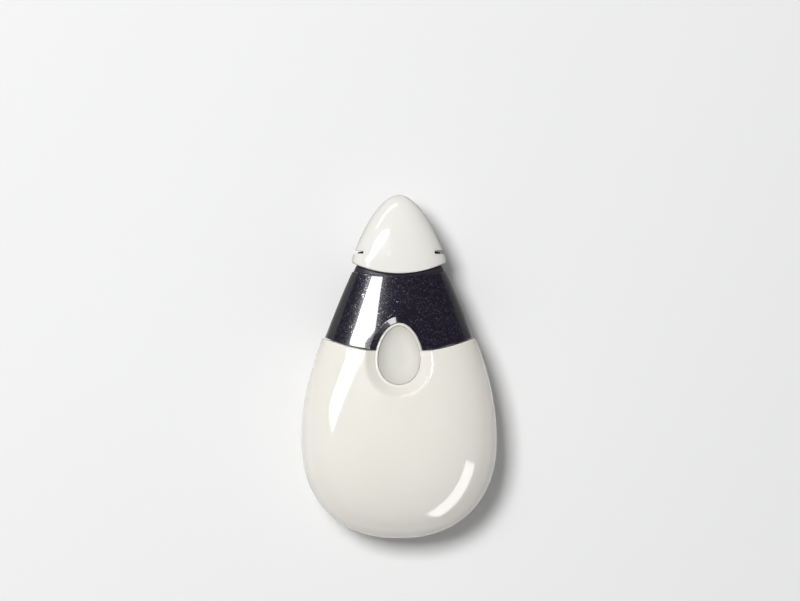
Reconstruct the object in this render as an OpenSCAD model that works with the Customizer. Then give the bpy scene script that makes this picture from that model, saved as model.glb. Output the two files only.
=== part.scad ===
// Chalk wheel marker for dressmaking: a drop-shaped powder container, a dark collar with the wheel
// holder that pulls off for refilling, a toothed wheel, and a cap that pulls off for marking.
// The marker lies on its back: +Z is up out of the front face and +Y runs towards the tip.

/* [Body outline] */
// Length of the container, from its round end to the seam with the collar at the sides
body_len = 48.2; // [46.5:0.1:50]
// Width at the widest point
body_w = 47.1; // [45:0.1:50]
// Thickness at the widest point, before the back is flattened
body_t = 24.6; // [23.5:0.1:27]
// Distance of the widest point from the round end
widest_y = 23.6; // [21:0.1:26]
// Fullness of the round end seen from the front, where 2 is an ellipse
end_power = 2.25; // [2:0.05:2.6]
// Fullness of the cross-sections, where 2 is an ellipse
section_power = 2.3; // [2.1:0.05:2.6]
// Depth taken off the back for the flat that it rests on
land_cut = 0.6; // [0.3:0.05:0.9]
// Wall of the two body shells
shell_wall = 1.6; // [1.4:0.1:2]

/* [Seam between body and collar] */
// Width of the body at the seam
seam_w = 36.7; // [35:0.1:39]
// Thickness of the body at the seam
seam_t = 19.5; // [18.8:0.1:21]
// How far the seam dips towards the round end at the middle of the front
seam_rise = 3.6; // [2.5:0.1:4.5]
// Taper of the width at the seam, per side
seam_slope_w = 0.41; // [0.3:0.01:0.5]
// Taper of the thickness at the seam, per side
seam_slope_t = 0.2; // [0.12:0.01:0.28]
// Open line between the body and the collar
seam_gap = 0.25; // [0.2:0.05:0.5]
// Radius that breaks the outer edges of the shells, collar and cap
edge_r = 0.35; // [0.2:0.05:0.5]

/* [Collar] */
// Length of the collar at the sides
collar_len = 16; // [15:0.1:17.5]
// Width of the body's outline at the collar's front corners
nose_w = 23.3; // [22.8:0.1:25]
// Thickness of the body's outline at the collar's front corners
nose_t = 12.9; // [12.7:0.1:14]
// How far the collar's front rim dips at its middle
rim_rise = 1.1; // [0.6:0.1:1.5]
// Taper of the width at the front rim, per side
nose_slope_w = 0.47; // [0.35:0.01:0.55]
// Taper of the thickness at the front rim, per side
nose_slope_t = 0.21; // [0.12:0.01:0.28]
// Step down from the body's surface to the collar's
collar_step = 0.5; // [0.3:0.05:0.7]
// Wall of the collar
collar_wall = 1.3; // [1.1:0.1:1.5]
// Clearance between the collar and the skirt that it slides over
collar_clear = 0.3; // [0.25:0.05:0.4]

/* [Finger rest] */
// Width of the egg-shaped bowl
rest_w = 10; // [9:0.1:11]
// Length of the bowl
rest_len = 14; // [13:0.1:15]
// Distance of the bowl's middle behind the sides of the seam
rest_back = 4.1; // [3.5:0.1:5]
// How much narrower the bowl is towards the tip
rest_egg = 0.148; // [0:0.01:0.25]
// Width of the raised lip round the bowl
lip_w = 0.55; // [0.4:0.05:0.7]
// Depth of the lip below the outer surface
lip_depth = 1.75; // [1.6:0.05:1.9]
// Width of the bevel that leads down to the lip
bevel_w = 1.5; // [1.2:0.1:1.8]
// Gap between the lip and the arch in the collar
arch_gap = 0.15; // [0.1:0.05:0.25]
// Step down from the lip to the edge of the bowl
bowl_step = 0.4; // [0.2:0.05:0.6]
// Depth of the bowl below its own edge
bowl_depth = 1.8; // [1.2:0.1:2.2]
// Thickness of the finger rest
rest_t = 1.2; // [1:0.1:1.4]
// Wall of the pocket that holds the finger rest
pocket_wall = 1.1; // [0.9:0.1:1.2]

/* [Filler neck] */
// Length of the neck in front of the skirt
neck_len = 7; // [6:0.1:7.4]
// Outside diameter of the neck
neck_d = 8.8; // [8.4:0.1:9]
// Diameter of the filling bore
bore_d = 6.4; // [6:0.1:6.6]
// Length of the shells' skirt in front of the sides of the seam
skirt_len = 5.8; // [5.5:0.1:6.5]
// Thickness of the neck's flange
flange_t = 1.5; // [1:0.1:1.5]
// Thickness of the seal ring on the neck
seal_t = 1; // [0.8:0.1:1.2]

/* [Wheel holder] */
// Radial running clearance of the holder's socket on the neck
socket_clear = 0.05; // [0.03:0.01:0.08]
// Wall of the socket
socket_wall = 0.9; // [0.7:0.05:0.95]
// Length of the plug behind the collar's front corners
plug_len = 4.7; // [4.4:0.1:5.6]
// Diameter of the powder duct
duct_d = 3; // [2:0.1:3.4]
// Width of the snout at its base
snout_w = 6.2; // [5.8:0.1:6.4]
// Height of the snout at its base
snout_h = 7.8; // [7:0.1:8.2]
// Width of the fork that holds the wheel
fork_w = 5.2; // [4.8:0.1:5.6]
// Height of the fork's round end
fork_h = 4.6; // [4:0.1:5]
// Width of the slot for the wheel
fork_slot = 1.4; // [1.3:0.05:1.6]
// Room behind the wheel's teeth in the slot
slot_room = 0.6; // [0.4:0.1:0.8]
// Side play of the wheel's hub in the slot, in all
hub_play = 0.15; // [0.1:0.05:0.3]
// Step down from the collar's surface to the shoulder that shows in front of it
shoulder_step = 0.3; // [0.2:0.05:0.4]
// Thickness of the two spring arms
arm_t = 0.85; // [0.7:0.05:0.9]
// Width of the spring arms
arm_w = 2.6; // [2:0.1:3]

/* [Wheel] */
// Distance of the wheel's axis behind the tip of the cap
wheel_back = 7.8; // [7.4:0.1:8.4]
// Diameter over the teeth
wheel_d = 6; // [5.6:0.1:6.4]
// Depth of the teeth
tooth_depth = 0.45; // [0.3:0.05:0.6]
// Number of teeth
teeth = 30; // [20:1:40]
// Thickness of the toothed disc
wheel_t = 0.9; // [0.6:0.05:1]
// Diameter of the hub
hub_d = 2.8; // [2.4:0.1:3.2]
// Diameter of the axle pin
axle_d = 1.2; // [1:0.05:1.4]
// Radial running clearance between the wheel and the axle pin
axle_clear = 0.03; // [0.02:0.01:0.05]

/* [Cap] */
// Length of the holder's shoulder between the collar and the cap at the sides
shoulder_len = 2; // [1.8:0.1:2.5]
// Length of the cap, from its base corners to its tip
cap_len = 16.3; // [15.5:0.1:18]
// Width of the cap at its base
cap_w = 22.7; // [22.4:0.1:23.2]
// Thickness of the cap at its base
cap_t = 12.6; // [12.4:0.1:13.4]
// How far the cap's edge dips at its middle
cap_rise = 2.6; // [2.2:0.1:2.8]
// Length of the cap's flank, from its base corners to where its tip starts
cap_flank = 4.8; // [4.4:0.1:5.2]
// Wall of the cap
cap_wall = 1.2; // [1:0.05:1.3]
// Wall of the cap's thinner lower part, which slides over the holder
cap_base_wall = 0.85; // [0.75:0.05:0.9]
// Distance of the two snap slots in front of the cap's base corners
slot_up = 2.5; // [2.4:0.1:3]
// Height of the snap slots
slot_h = 0.9; // [0.8:0.05:1.1]
// Distance of the slots' inner ends from the middle of the cap
slot_x = 8.5; // [8.2:0.1:8.7]
// Clearance between the cap and the holder's neck
cap_clear = 0.3; // [0.25:0.05:0.4]
// How far the snap lugs reach into the slots
lug_reach = 0.35; // [0.2:0.05:0.45]
// Play of the snap lugs along the slots' height
lug_play = 0.3; // [0.2:0.05:0.4]
// Open line between the cap's edge and the holder's shoulder
cap_gap = 0.2; // [0.15:0.05:0.3]

/* [Hidden] */

$fn = 64;
eps = 0.01;
// How far a cut runs past the surface that it opens
cut = 1;

// Clearance between two pieces that are fixed together, of a close fit, and round the powder
seat = 0.05;
close_fit = 0.02;
powder_gap = 0.25;
// Number of points round a cross-section, and round the finger rest
around = 48;
egg_points = 40;
// Height of the mid-plane, where the two shells meet
mid_z = body_t / 2 - land_cut;

// Places along the marker, as distances from the round end
seam_y = body_len;
nose_y = seam_y + collar_len;
cap_y = nose_y + shoulder_len;
overall_len = cap_y + cap_len;
rest_y = seam_y - rest_back;
skirt_y = seam_y + skirt_len;
neck_end_y = skirt_y + neck_len;
plug_y = nose_y - plug_len;
slot_y = cap_y + slot_up;
wheel_y = overall_len - wheel_back;

// Outline centres and curvatures of the three cross seams: y = centre + curve * x * x
seam_c = seam_y - seam_rise;
seam_q = seam_rise / pow(seam_w / 2, 2);
rim_c = nose_y - rim_rise;
rim_q = rim_rise / pow(nose_w / 2, 2);
cap_c = cap_y - cap_rise;
cap_q = cap_rise / pow(cap_w / 2, 2);

// Depths below the outer surface
collar_in = collar_step + collar_wall;
skirt_d = collar_in + collar_clear;
skirt_in = skirt_d + shell_wall;
plug_d = collar_in + 2 * seat;
shoulder_d = collar_step + shoulder_step;
pad_d = lip_depth + shell_wall;
// Slope where the container narrows to the inside of the skirt
throat_len = 2;
throat_y = seam_c - throat_len;

// Offsets from the edge of the bowl, and depths of its pocket
arch_off = lip_w + arch_gap;
bowl_edge_d = lip_depth + bowl_step;
pocket_off = seat;
pad_off = arch_off + bevel_w + cut;

// Cap: the full width holds over a short band, and the powers shape its side and front outlines
cap_band = 0.6;
cap_full_y = cap_y + cap_band;
cap_power_w = 1.1;
cap_root_w = 0.544;
cap_power_t = 1.8;
cap_root_t = 0.55;

neck_r = neck_d / 2;
socket_r = neck_r + socket_clear;
socket_y = skirt_y + seal_t + seat;
socket_end_y = neck_end_y + cap_clear;
lug_x = cap_half_w(slot_y + slot_h / 2, 0) - cap_wall + lug_reach;
arm_x = slot_x + 2 * seat;
lug_h = slot_h - lug_play;

// Outline functions
function cubic(t, p0, p1, m0, m1) =
    p0 * (2 * pow(t, 3) - 3 * pow(t, 2) + 1) + m0 * (pow(t, 3) - 2 * pow(t, 2) + t)
    + p1 * (3 * pow(t, 2) - 2 * pow(t, 3)) + m1 * (pow(t, 3) - pow(t, 2));

function taper(y, y0, y1, p0, p1, slope0, slope1) =
    cubic((y - y0) / (y1 - y0), p0, p1, -slope0 * (y1 - y0), -slope1 * (y1 - y0));

function round_end(y, d, half, power) =
    let (u = max(0, (y - d) / (widest_y - d)))
    (half - d) * pow(1 - pow(1 - u, power), 1 / power);

// Half width and half thickness of the body's outline, d below its surface
function skin_w(y, d) =
    y < widest_y ? round_end(y, d, body_w / 2, end_power)
    : y < seam_y ? taper(y, widest_y, seam_y, body_w / 2, seam_w / 2, 0, seam_slope_w) - d
    : y < nose_y ? taper(y, seam_y, nose_y, seam_w / 2, nose_w / 2, seam_slope_w, nose_slope_w) - d
    : nose_w / 2 - nose_slope_w * (y - nose_y) - d;

function skin_t(y, d) =
    y < widest_y ? round_end(y, d, body_t / 2, 2)
    : y < seam_y ? taper(y, widest_y, seam_y, body_t / 2, seam_t / 2, 0, seam_slope_t) - d
    : y < nose_y ? taper(y, seam_y, nose_y, seam_t / 2, nose_t / 2, seam_slope_t, nose_slope_t) - d
    : nose_t / 2 - nose_slope_t * (y - nose_y) - d;

// Half width and half thickness of the cap's outline
function cap_share(y, d) = max(0, min(1, (y - cap_full_y) / (overall_len - d - cap_full_y)));

function cap_half_w(y, d) = (cap_w / 2 - d) * pow(1 - pow(cap_share(y, d), cap_power_w), cap_root_w);

function cap_half_t(y, d) = (cap_t / 2 - d) * pow(1 - pow(cap_share(y, d), cap_power_t), cap_root_t);

// Front surface of the body, d below the skin, over a point of the plan
function skin_z(x, y, d) =
    skin_t(y, d) * pow(1 - pow(min(1, abs(x) / skin_w(y, d)), section_power), 1 / section_power);

// Point of a cross-section: c and s are the shares of the half width and half thickness
function bend(y0, q, x) = y0 + q * x * x;

function share(v) = sign(v) * pow(abs(v), 2 / section_power);

function skin_point(row, angle) =
    let (c = share(cos(angle)),
         y1 = bend(row[0], row[2], skin_w(row[0], row[1]) * c),
         y2 = bend(row[0], row[2], skin_w(y1, row[1]) * c),
         y = bend(row[0], row[2], skin_w(y2, row[1]) * c))
    [skin_w(y, row[1]) * c, y, skin_t(y, row[1]) * share(sin(angle))];

function cap_point(row, angle) =
    let (c = share(cos(angle)),
         y1 = bend(row[0], row[2], cap_half_w(row[0], row[1]) * c),
         y2 = bend(row[0], row[2], cap_half_w(y1, row[1]) * c),
         y = bend(row[0], row[2], cap_half_w(y2, row[1]) * c))
    [cap_half_w(y, row[1]) * c, y, cap_half_t(y, row[1]) * share(sin(angle))];

// A row is [y at the middle, depth below the surface, curvature of the row]
function skin_ring(row, n = around) = [for (k = [0:n - 1]) skin_point(row, 360 * k / n)];

function cap_ring(row, n = around) = [for (k = [0:n - 1]) cap_point(row, 360 * k / n)];

function half_ring(row, n = around / 2) = [for (k = [0:n]) skin_point(row, 180 * k / n)];

function end_rows(d, n) =
    [for (k = [1:n]) [d + (widest_y - d) * (1 - cos(90 * k / n)), d, 0]];

function run(from, to, n) = [for (k = [1:n]) from + (to - from) * k / n];

// Rows that close up towards a tip; the last one stays half a step short of it
function tip_rows(y0, tip, d, n) =
    [for (k = [1:n]) [y0 + (tip - y0) * sin(90 * k / (n + 0.5)), d, 0]];

function flip(list) = [for (k = [len(list) - 1:-1:0]) list[k]];

function join(lists) = [for (list = lists) for (item = list) item];

// Egg outline of the finger rest, off outside its edge; an angle of 0 points to the tip
function egg(angle, off, scale = 1) =
    [scale * (rest_w / 2 + off) * sin(angle) * (1 - rest_egg * cos(angle)),
     rest_y + scale * (rest_len / 2 + off) * cos(angle)];

function egg_ring(off, d, scale = 1) =
    [for (k = [0:egg_points - 1])
        let (p = egg(-360 * k / egg_points, off, scale))
        [p[0], p[1], skin_z(p[0], p[1], d)]];

function bowl_d(scale, d) = d + bowl_depth * (1 - scale * scale);

// Triangles between neighbouring rings of n points, which start at point first
function band_faces(rings, n, first) =
    [for (r = [0:rings - 2]) for (k = [0:n - 1])
        let (a = first + r * n + k, b = first + r * n + (k + 1) % n)
        each [[a, b, b + n], [a, b + n, a + n]]];

// Closed solid from a start point, rings round an axis, and an end point
module ring_solid(start, rings, end) {
    n = len(rings[0]);
    last = 2 + (len(rings) - 1) * n;
    points = join([[start, end], join(rings)]);
    start_faces = [for (k = [0:n - 1]) [0, 2 + (k + 1) % n, 2 + k]];
    end_faces = [for (k = [0:n - 1]) [1, last + k, last + (k + 1) % n]];
    polyhedron(points, join([start_faces, band_faces(len(rings), n, 2), end_faces]), convexity = 6);
}

// Closed tube whose last ring joins its first
module tube_solid(rings) {
    n = len(rings[0]);
    count = len(rings);
    closing = [for (k = [0:n - 1])
        let (a = (count - 1) * n + k, b = (count - 1) * n + (k + 1) % n)
        each [[a, b, (k + 1) % n], [a, (k + 1) % n, k]]];
    polyhedron(join(rings), join([band_faces(count, n, 0), closing]), convexity = 6);
}

// Triangles between neighbouring open rings of n points, which start at point first
function sheet_faces(rings, n, first) =
    [for (r = [0:rings - 2]) for (k = [0:n - 2])
        let (a = first + r * n + k)
        each [[a, a + 1, a + 1 + n], [a, a + 1 + n, a + n]]];

function turned(faces) = [for (f = faces) flip(f)];

// Closed half shell: as many half rings outside as inside, each from its pole, flat on the mid-plane
module half_solid(outer_pole, outer, inner_pole, inner) {
    n = len(outer[0]);
    count = len(outer);
    first = 2 + count * n;
    outer_faces = join([[for (k = [0:n - 2]) [0, 3 + k, 2 + k]], sheet_faces(count, n, 2)]);
    inner_faces = join([[for (k = [0:n - 2]) [1, first + 1 + k, first + k]], sheet_faces(count, n, first)]);
    rim = [for (k = [0:n - 2])
        let (a = first - n + k, b = a + count * n)
        each [[a, a + 1, b + 1], [a, b + 1, b]]];
    sides = [for (edge = [0, n - 1])
        let (strip = [for (r = [-1:count - 2])
            let (a = r < 0 ? 0 : 2 + r * n + edge, b = r < 0 ? 1 : a + count * n,
                 c = 2 + (r + 1) * n + edge, d = c + count * n)
            each [[a, c, d], [a, d, b]]])
        each edge == 0 ? strip : turned(strip)];
    polyhedron(join([[outer_pole, inner_pole], join(outer), join(inner)]),
               join([outer_faces, turned(inner_faces), rim, sides]), convexity = 6);
}

// The whole marker stands on the middle of its box, with the flat of its back on z = 0
module place() {
    translate([0, -overall_len / 2, mid_z]) children();
}

module along_y(y) {
    translate([0, y, 0]) rotate([-90, 0, 0]) children();
}

// Rows of a half shell from its rear pole over the seam to the end of the skirt, outside and inside
shell_outer = join([
    end_rows(0, 12),
    run([widest_y, 0, 0], [seam_c - edge_r, 0, seam_q], 7),
    [[seam_c - edge_r * 0.3, edge_r * 0.3, seam_q], [seam_c, edge_r, seam_q], [seam_c, skirt_d, seam_q]],
    run([seam_c, skirt_d, seam_q], [skirt_y, skirt_d, 0], 3)
]);
shell_inner = join([
    end_rows(shell_wall, 12),
    run([widest_y, shell_wall, 0], [throat_y - throat_len, shell_wall, seam_q], 7),
    run([throat_y - throat_len, shell_wall, seam_q], [throat_y, skirt_in, seam_q], 3),
    run([throat_y, skirt_in, seam_q], [skirt_y, skirt_in, 0], 3)
]);

module half_shell() {
    half_solid([0, 0, 0], [for (row = shell_outer) half_ring(row)],
               [0, shell_wall, 0], [for (row = shell_inner) half_ring(row)]);
}

// Solid under the egg outline, from depth d0 to depth d1 at its rim, with the bowl's round floor
module egg_column(off, d0, d1) {
    rings = [egg_ring(off, d0), egg_ring(off, bowl_d(1, d1)), egg_ring(off, bowl_d(0.75, d1), 0.75),
             egg_ring(off, bowl_d(0.4, d1), 0.4)];
    ring_solid([0, rest_y, skin_z(0, rest_y, d0)], rings, [0, rest_y, skin_z(0, rest_y, bowl_d(0, d1))]);
}

// Dish cut round the finger rest: a bevel down to the lip, or right through the collar's wall
module dish_cut(depth, through) {
    slope = (collar_in - collar_step) / bevel_w;
    start_z = skin_z(0, rest_y, 0) + 4 * cut;
    rings = join([
        [egg_ring(pad_off, collar_step - slope * cut), egg_ring(arch_off, collar_in)],
        through ? [egg_ring(arch_off, depth)] : [egg_ring(0, depth), egg_ring(-cut, depth)]
    ]);
    ring_solid([0, rest_y, start_z], rings, [0, rest_y, skin_z(0, rest_y, depth)]);
}

module body_front_shell() {
    color([0.92, 0.91, 0.87])
    place()
    difference() {
        union() {
            half_shell();
            intersection() {
                egg_column(pad_off, shell_wall / 2, pad_d - bowl_depth / 2);
                translate([-body_w / 2, 0, 0]) cube([body_w, seam_c - edge_r, body_t]);
            }
            egg_column(pocket_off + pocket_wall, skirt_d + eps, bowl_edge_d + rest_t + pocket_wall);
            egg_column(lip_w, lip_depth / 2, skirt_in);
        }
        dish_cut(lip_depth, false);
        egg_column(pocket_off, -cut, bowl_edge_d + rest_t);
    }
}

module body_back_shell() {
    color([0.92, 0.91, 0.87])
    place()
    difference() {
        mirror([0, 0, 1]) half_shell();
        translate([-body_w / 2, 0, -body_t]) cube([body_w, overall_len, body_t - mid_z]);
    }
}

module finger_rest() {
    shares = [0.3, 0.55, 0.8, 1];
    top = [for (s = shares) egg_ring(0, bowl_d(s, bowl_edge_d), s)];
    base = [for (s = flip(shares)) egg_ring(0, bowl_d(s, bowl_edge_d + rest_t - seat), s)];
    top_z = skin_z(0, rest_y, bowl_d(0, bowl_edge_d));
    base_z = skin_z(0, rest_y, bowl_d(0, bowl_edge_d + rest_t - seat));
    color([0.85, 0.84, 0.81])
    place()
    ring_solid([0, rest_y, top_z], join([top, base]), [0, rest_y, base_z]);
}

module filler_neck() {
    flange_y = skirt_y - flange_t;
    color([0.88, 0.87, 0.84])
    place()
    difference() {
        union() {
            ring_solid([0, flange_y, 0],
                       [skin_ring([flange_y, skirt_in + seat, 0]), skin_ring([skirt_y, skirt_in + seat, 0])],
                       [0, skirt_y, 0]);
            along_y(flange_y + eps) cylinder(r = neck_r, h = neck_end_y - flange_y - eps);
        }
        along_y(flange_y - cut) cylinder(d = bore_d, h = neck_end_y - flange_y + 2 * cut);
    }
}

module neck_seal() {
    color([0.25, 0.25, 0.27])
    place()
    along_y(skirt_y + seal_t / 2)
    rotate_extrude() translate([neck_r + seal_t / 2 + close_fit, 0]) circle(d = seal_t, $fn = 24);
}

module chalk_powder() {
    front_y = skirt_y - flange_t - seat;
    rear_y = shell_wall + powder_gap;
    narrow_d = skirt_in + powder_gap;
    rows = join([
        end_rows(rear_y, 6),
        run([widest_y, rear_y, 0], [throat_y - throat_len, rear_y, seam_q], 3),
        [[throat_y - powder_gap, narrow_d, seam_q], [front_y, narrow_d, 0]]
    ]);
    color([0.95, 0.95, 0.97])
    place()
    difference() {
        ring_solid([0, rear_y, 0], [for (row = rows) skin_ring(row, 32)], [0, front_y, 0]);
        egg_column(pad_off + powder_gap, 0, pad_d - bowl_depth / 2 + powder_gap);
        egg_column(pocket_off + pocket_wall + powder_gap, 0,
                   bowl_edge_d + rest_t + pocket_wall + powder_gap);
    }
}

module collar() {
    rear = seam_c + seam_gap;
    rows = join([
        [[rear, collar_step + edge_r / 2, seam_q], [rear + edge_r / 2, collar_step, seam_q]],
        run([rear + edge_r / 2, collar_step, seam_q], [rim_c - edge_r, collar_step, rim_q], 8),
        [[rim_c - edge_r * 0.3, collar_step + edge_r * 0.3, rim_q], [rim_c, collar_step + edge_r, rim_q]],
        flip(run([rear, collar_in, seam_q], [rim_c, collar_in, rim_q], 5)),
        [[rear, collar_in, seam_q]]
    ]);
    color([0.2, 0.17, 0.25])
    place()
    difference() {
        tube_solid([for (row = rows) skin_ring(row)]);
        dish_cut(skirt_in + 2 * cut, true);
    }
}

// Plug inside the collar's front, and the shoulder that shows between collar and cap
module holder_plug() {
    rows = [[plug_y, plug_d, 0], [rim_c + seat / 2, plug_d, rim_q], [rim_c + seat / 2, shoulder_d, rim_q],
            [cap_c - cap_gap, shoulder_d, cap_q], [cap_c - cap_gap, plug_d, cap_q]];
    front_y = cap_c - cap_gap;
    ring_solid([0, plug_y, 0], [for (row = rows) skin_ring(row)], [0, front_y, 0]);
}

// Neck that the cap slides over
module holder_neck() {
    neck_in = cap_base_wall + cap_clear;
    front_y = cap_full_y + cap_gap;
    rows = [[cap_c - cap_gap - eps, neck_in, cap_q], [front_y - edge_r, neck_in, 0],
            [front_y, neck_in + edge_r, 0]];
    ring_solid([0, cap_c - cap_gap - eps, 0], [for (row = rows) cap_ring(row)], [0, front_y, 0]);
}

// Snout that narrows to the fork, as seen from the front and from the side
module snout() {
    base_y = cap_full_y;
    fork_y = wheel_y - wheel_d / 2;
    tip_y = wheel_y + fork_h / 2;
    intersection() {
        linear_extrude(2 * snout_h, center = true)
        polygon([[-snout_w / 2, base_y], [snout_w / 2, base_y], [fork_w / 2, fork_y], [fork_w / 2, tip_y],
                 [-fork_w / 2, tip_y], [-fork_w / 2, fork_y]]);
        rotate([0, 90, 0]) linear_extrude(2 * snout_w, center = true)
        union() {
            translate([0, wheel_y]) circle(d = fork_h);
            polygon([[-snout_h / 2, base_y], [snout_h / 2, base_y], [fork_h / 2, wheel_y],
                     [-fork_h / 2, wheel_y]]);
        }
    }
}

// Spring arm with a lug that catches in the cap's slot
module snap_arm() {
    translate([arm_x - arm_t, cap_full_y, -arm_w / 2])
    cube([arm_t, slot_y + lug_h / 2 - cap_full_y, arm_w]);
    linear_extrude(arm_w, center = true)
    polygon([[arm_x - arm_t / 2, slot_y - lug_h / 2], [lug_x, slot_y - lug_h / 2],
             [lug_x, slot_y], [arm_x - arm_t / 2, slot_y + lug_h / 2]]);
}

module wheel_holder() {
    duct_end = wheel_y - wheel_d / 2;
    color([0.22, 0.17, 0.27])
    place()
    difference() {
        union() {
            holder_plug();
            holder_neck();
            along_y(socket_y) cylinder(r = socket_r + socket_wall, h = plug_y + seat - socket_y);
            snout();
            for (side = [0, 1]) mirror([side, 0, 0]) snap_arm();
        }
        along_y(socket_y - cut) cylinder(r = socket_r, h = socket_end_y - socket_y + cut);
        along_y(socket_end_y - cut) cylinder(d = duct_d, h = duct_end - socket_end_y + cut);
        translate([-fork_slot / 2, duct_end - slot_room, -snout_h])
        cube([fork_slot, wheel_d + snout_h, 2 * snout_h]);
        translate([-fork_w, wheel_y, 0]) rotate([0, 90, 0]) cylinder(d = axle_d + close_fit, h = 2 * fork_w);
    }
}

module marking_wheel() {
    tip_r = wheel_d / 2;
    root_r = tip_r - tooth_depth;
    outline = [for (k = [0:2 * teeth - 1])
        let (a = 180 * k / teeth, r = k % 2 == 0 ? tip_r : root_r)
        [r * cos(a), r * sin(a)]];
    hub_t = fork_slot - hub_play;
    color([0.75, 0.76, 0.78])
    place()
    translate([0, wheel_y, 0]) rotate([0, 90, 0])
    difference() {
        union() {
            translate([0, 0, -wheel_t / 2]) linear_extrude(wheel_t) polygon(outline);
            translate([0, 0, -hub_t / 2]) cylinder(d = hub_d, h = hub_t);
        }
        translate([0, 0, -hub_t]) cylinder(d = axle_d + 2 * axle_clear, h = 2 * hub_t);
    }
}

module wheel_axle() {
    color([0.7, 0.71, 0.73])
    place()
    translate([-fork_w / 2, wheel_y, 0]) rotate([0, 90, 0]) cylinder(d = axle_d, h = fork_w);
}

module cap_slot() {
    translate([slot_x + slot_h / 2, slot_y, -cap_t / 2]) cylinder(d = slot_h, h = cap_t);
    translate([slot_x + slot_h / 2, slot_y - slot_h / 2, -cap_t / 2]) cube([cap_w / 2, slot_h, cap_t]);
}

module cap() {
    flank_y = cap_y + cap_flank;
    inner_y = slot_y + slot_h / 2;
    inner_tip = overall_len - cap_wall;
    outer = join([
        [[cap_c, edge_r, cap_q], [cap_c + edge_r * 0.3, edge_r * 0.3, cap_q],
         [cap_c + edge_r, 0, cap_q]],
        run([cap_c + edge_r, 0, cap_q], [flank_y, 0, 0], 6),
        tip_rows(flank_y, overall_len, 0, 9)
    ]);
    inner = join([
        flip(tip_rows(inner_y, inner_tip, cap_wall, 7)),
        [[inner_y, cap_wall, 0], [inner_y, cap_base_wall, 0], [cap_full_y, cap_base_wall, 0],
         [cap_c, cap_base_wall, cap_q]]
    ]);
    color([0.91, 0.91, 0.89])
    place()
    difference() {
        ring_solid([0, inner_tip, 0], [for (row = join([inner, outer])) cap_ring(row)],
                   [0, overall_len, 0]);
        for (side = [0, 1]) mirror([side, 0, 0]) cap_slot();
    }
}

body_front_shell();
body_back_shell();
finger_rest();
filler_neck();
neck_seal();
chalk_powder();
collar();
wheel_holder();
marking_wheel();
wheel_axle();
cap();
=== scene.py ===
"""Chalk wheel marker for dressmaking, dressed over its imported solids.

Shapes are worked out in millimetres in the marker's own frame: x across, y from the round end towards the
tip, and z up from the mid-plane where the two shells meet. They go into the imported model's frame, in metres,
as a mesh is made.
"""
from __future__ import annotations

import logging
import math
from dataclasses import dataclass, field
from enum import Enum
from functools import cache, cached_property
from typing import Callable, Sequence

import bpy
import numpy as np
from mathutils import Matrix, Vector


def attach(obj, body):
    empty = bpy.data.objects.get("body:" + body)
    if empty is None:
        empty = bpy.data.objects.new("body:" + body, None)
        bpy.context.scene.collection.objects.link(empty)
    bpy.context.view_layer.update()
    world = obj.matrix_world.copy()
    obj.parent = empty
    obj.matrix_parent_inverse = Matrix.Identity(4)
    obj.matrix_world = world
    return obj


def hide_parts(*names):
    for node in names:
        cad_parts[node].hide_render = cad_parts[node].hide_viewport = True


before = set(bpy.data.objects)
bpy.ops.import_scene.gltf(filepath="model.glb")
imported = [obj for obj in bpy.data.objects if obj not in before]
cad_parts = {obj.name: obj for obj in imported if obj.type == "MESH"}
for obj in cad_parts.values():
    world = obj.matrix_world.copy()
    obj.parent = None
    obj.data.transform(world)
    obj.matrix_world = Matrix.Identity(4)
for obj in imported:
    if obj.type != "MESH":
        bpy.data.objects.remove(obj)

LOG = logging.getLogger("marker")
Array = np.ndarray
Faces = list[Array]
Columns = tuple[Array, Array]
Floor = Callable[[Array, Array], Array]
Pair = tuple[float, float]
Triple = tuple[float, float, float]
Socket = bpy.types.NodeSocket

LENGTH = 82.5
MID_HEIGHT = 11.7
WHEEL_Y = 74.7
SLOT_Y = 68.7
MM_IN_METRE = 1000.0
BELL_REACH = 3
CORNER_POINTS = 7
BEND_ROUNDS = 5
TABLE_ANGLES = 4001
FINE_CLEARANCE = 1.5
TINY = 1e-12
CRISP = 32.0
NOISE_RANGE = (0.3, 0.7)


class Body(Enum):
    """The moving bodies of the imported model."""

    CONTAINER = "container"
    FRONT_UNIT = "front_unit"
    WHEEL = "wheel"
    CAP = "cap"


class Half(Enum):
    """Which side of the mid-plane a shell is on."""

    FRONT = 1
    BACK = -1


class Shine(Enum):
    """What a studio light acts on: only the reflections, or only the matt shading."""

    GLOSS_ONLY = 1
    MATT_ONLY = 2


# Small numpy tools for outlines and profiles


def hermite(y: Array, ends: Pair, values: Pair, slopes: Pair) -> Array:
    """Cubic through two end values with the slopes given there.

    Args:
        y: places to work the curve out at.
        ends: y of the two ends.
        values: value at each end.
        slopes: fall per millimetre at each end.

    Returns:
        The curve's values, the sum of the four cubic Hermite shapes.
    """
    span = ends[1] - ends[0]
    t = (y - ends[0]) / span
    return (values[0] * (2 * t**3 - 3 * t**2 + 1) - slopes[0] * span * (t**3 - 2 * t**2 + t)
            + values[1] * (3 * t**2 - 2 * t**3) - slopes[1] * span * (t**3 - t**2))


def softened(values: Array, step: float, sigma: float) -> Array:
    """Average of evenly spaced values under a bell curve, which keeps both end values.

    Args:
        values: the values, step apart.
        step: spacing in millimetres.
        sigma: width of the bell curve in millimetres.

    Returns:
        The softened values; past each end the curve is turned about its end point.
    """
    reach = int(BELL_REACH * sigma / step)
    bell = np.exp(-0.5 * (np.arange(-reach, reach + 1) * step / sigma) ** 2)
    start = 2 * values[0] - values[reach:0:-1]
    end = 2 * values[-1] - values[-2:-reach - 2:-1]
    return np.convolve(np.concatenate([start, values, end]), bell / bell.sum(), mode="valid")


def rounding(distance: Array, radius: float) -> Array:
    """Depth lost to a rounded edge at a distance from it: a quarter circle's drop, and nothing past it."""
    inside = np.clip(radius - distance, 0.0, radius)
    return radius - np.sqrt(radius * radius - inside * inside)


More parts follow.
